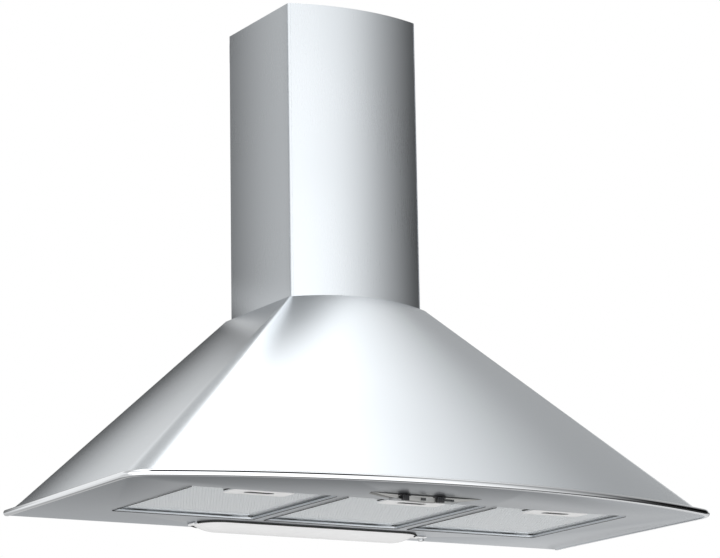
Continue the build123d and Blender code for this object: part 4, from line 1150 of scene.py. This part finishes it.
def make_card_shade():
    material = bpy.data.materials.new("card_painted_shade")
    material.use_nodes = True
    sheet = material.node_tree
    sheet.nodes.clear()
    axes = put(sheet, "ShaderNodeSeparateXYZ")
    sheet.links.new(put(sheet, "ShaderNodeTexCoord").outputs["Object"], axes.inputs[0])
    x, z = axes.outputs["X"], axes.outputs["Z"]

    def rise(value, start, stop, low, high):
        """A smooth step from low to high, while the value goes from start to stop."""
        ramp = put(sheet, "ShaderNodeMapRange", interpolation_type="SMOOTHSTEP")
        ends = {"From Min": start, "From Max": stop, "To Min": low, "To Max": high}
        for label, number in ends.items():
            ramp.inputs[label].default_value = number
        sheet.links.new(value, ramp.inputs["Value"])
        return ramp.outputs["Result"]

    def less(a, b):
        return math_node(sheet, "SUBTRACT", a, b)

    def most(a, b):
        return math_node(sheet, "MAXIMUM", a, b)

    # Above the rim: painted shade of the hood on the wall, beside the chimney and beside the
    # canopy's sloping edge.
    across = math_node(sheet, "ABSOLUTE", x)
    beside_chimney = rise(less(across, CHIMNEY_SIDE), -0.03, 0.12, 0.08, 0.60)
    beside_chimney = times(sheet, beside_chimney, rise(x, 0.1, 0.4, 1.0, 0.75))
    hidden = times(sheet, rise(x, -0.120, -CHIMNEY_SIDE, 0.0, 0.95), rise(x, 0.02, 0.08, 1.0, 0.0))
    beside_chimney = most(beside_chimney, hidden)
    gap = less(plus(sheet, across, times(sheet, z, HIP_LEAN)), HIP_REACH)
    beside_canopy = rise(times(sheet, gap, HIP_COSINE), 0.006, 0.088, 0.08, 0.95)
    upper = rise(z, 0.08, 0.18, 0.0, 1.0)
    beside_canopy = times(sheet, beside_canopy, less(1.0, upper))
    wall = plus(sheet, times(sheet, beside_chimney, upper), beside_canopy)
    # Below the rim: lighter to the right and upwards, and lightest past both ends.
    rightwards = times(sheet, plus(sheet, x, 0.18), 0.27)
    upwards = times(sheet, plus(sheet, z, 0.33), 1.5)
    below = plus(sheet, rightwards, upwards, 0.42)
    below = math_node(sheet, "MINIMUM", most(below, 0.25), 0.85)
    below = plus(sheet, below, rise(x, -0.50, -RIM_END, 0.45, 0.0))
    far_end = times(sheet, rise(x, 0.5, 0.7, 0.0, 0.95), rise(z, -0.6, -0.45, 1.0, 0.0))
    below = most(below, far_end)
    # Right of the hood, both are dark at the rim's height: painted shade.
    line = plus(sheet, times(sheet, less(x, RIM_END), -0.10), RIM_HEIGHT)
    under = rise(less(z, line), -0.004, 0.0, 1.0, 0.05)
    over = rise(z, -0.14, -0.08, 0.05, 1.0)
    below = times(sheet, below, most(under, rise(x, RIM_END, 0.46, 1.0, 0.0)))
    wall = times(sheet, wall, most(over, rise(x, RIM_END, 0.50, 1.0, 0.0)))
    lower = rise(z, RIM_HEIGHT, -0.19, 1.0, 0.0)
    light = plus(sheet, times(sheet, below, lower), times(sheet, wall, less(1.0, lower)))
    glow = put(sheet, "ShaderNodeEmission")
    sheet.links.new(light, glow.inputs["Strength"])
    sheet.links.new(glow.outputs[0], put(sheet, "ShaderNodeOutputMaterial").inputs["Surface"])
    return material


corners = [(-1, CARD_LOW), (1, CARD_LOW), (1, CARD_HIGH), (-1, CARD_HIGH)]
card = flat("wall_card", [(x * CARD_HALF, CARD_Y, z) for x, z in corners], make_card_shade())
card.visible_camera = False
card.visible_diffuse = False
card.visible_shadow = False
card.visible_transmission = False
print("card nodes", len(card.data.materials[0].node_tree.nodes))


# %% Lamps
def lamp(name, place, aim, width, power):
    """A soft square lamp that metal doesn't mirror."""
    light = bpy.data.lights.new(name, "AREA")
    light.energy = power
    light.size = width
    obj = placed(name, light)
    obj.location = place
    obj.rotation_euler = (Vector(aim) - Vector(place)).to_track_quat("-Z", "Y").to_euler()
    obj.visible_glossy = False
    return obj


lamp("key_lamp", (-2.4, -3.0, 2.4), (0, -0.2, 0.1), 2.0, 40.0)
lamp("low_lamp", (-1.0, -2.6, -1.0), (0, -0.2, -0.1), 1.6, 12.0)

# %% Finish
scene = bpy.context.scene
scene.view_settings.view_transform = "Standard"
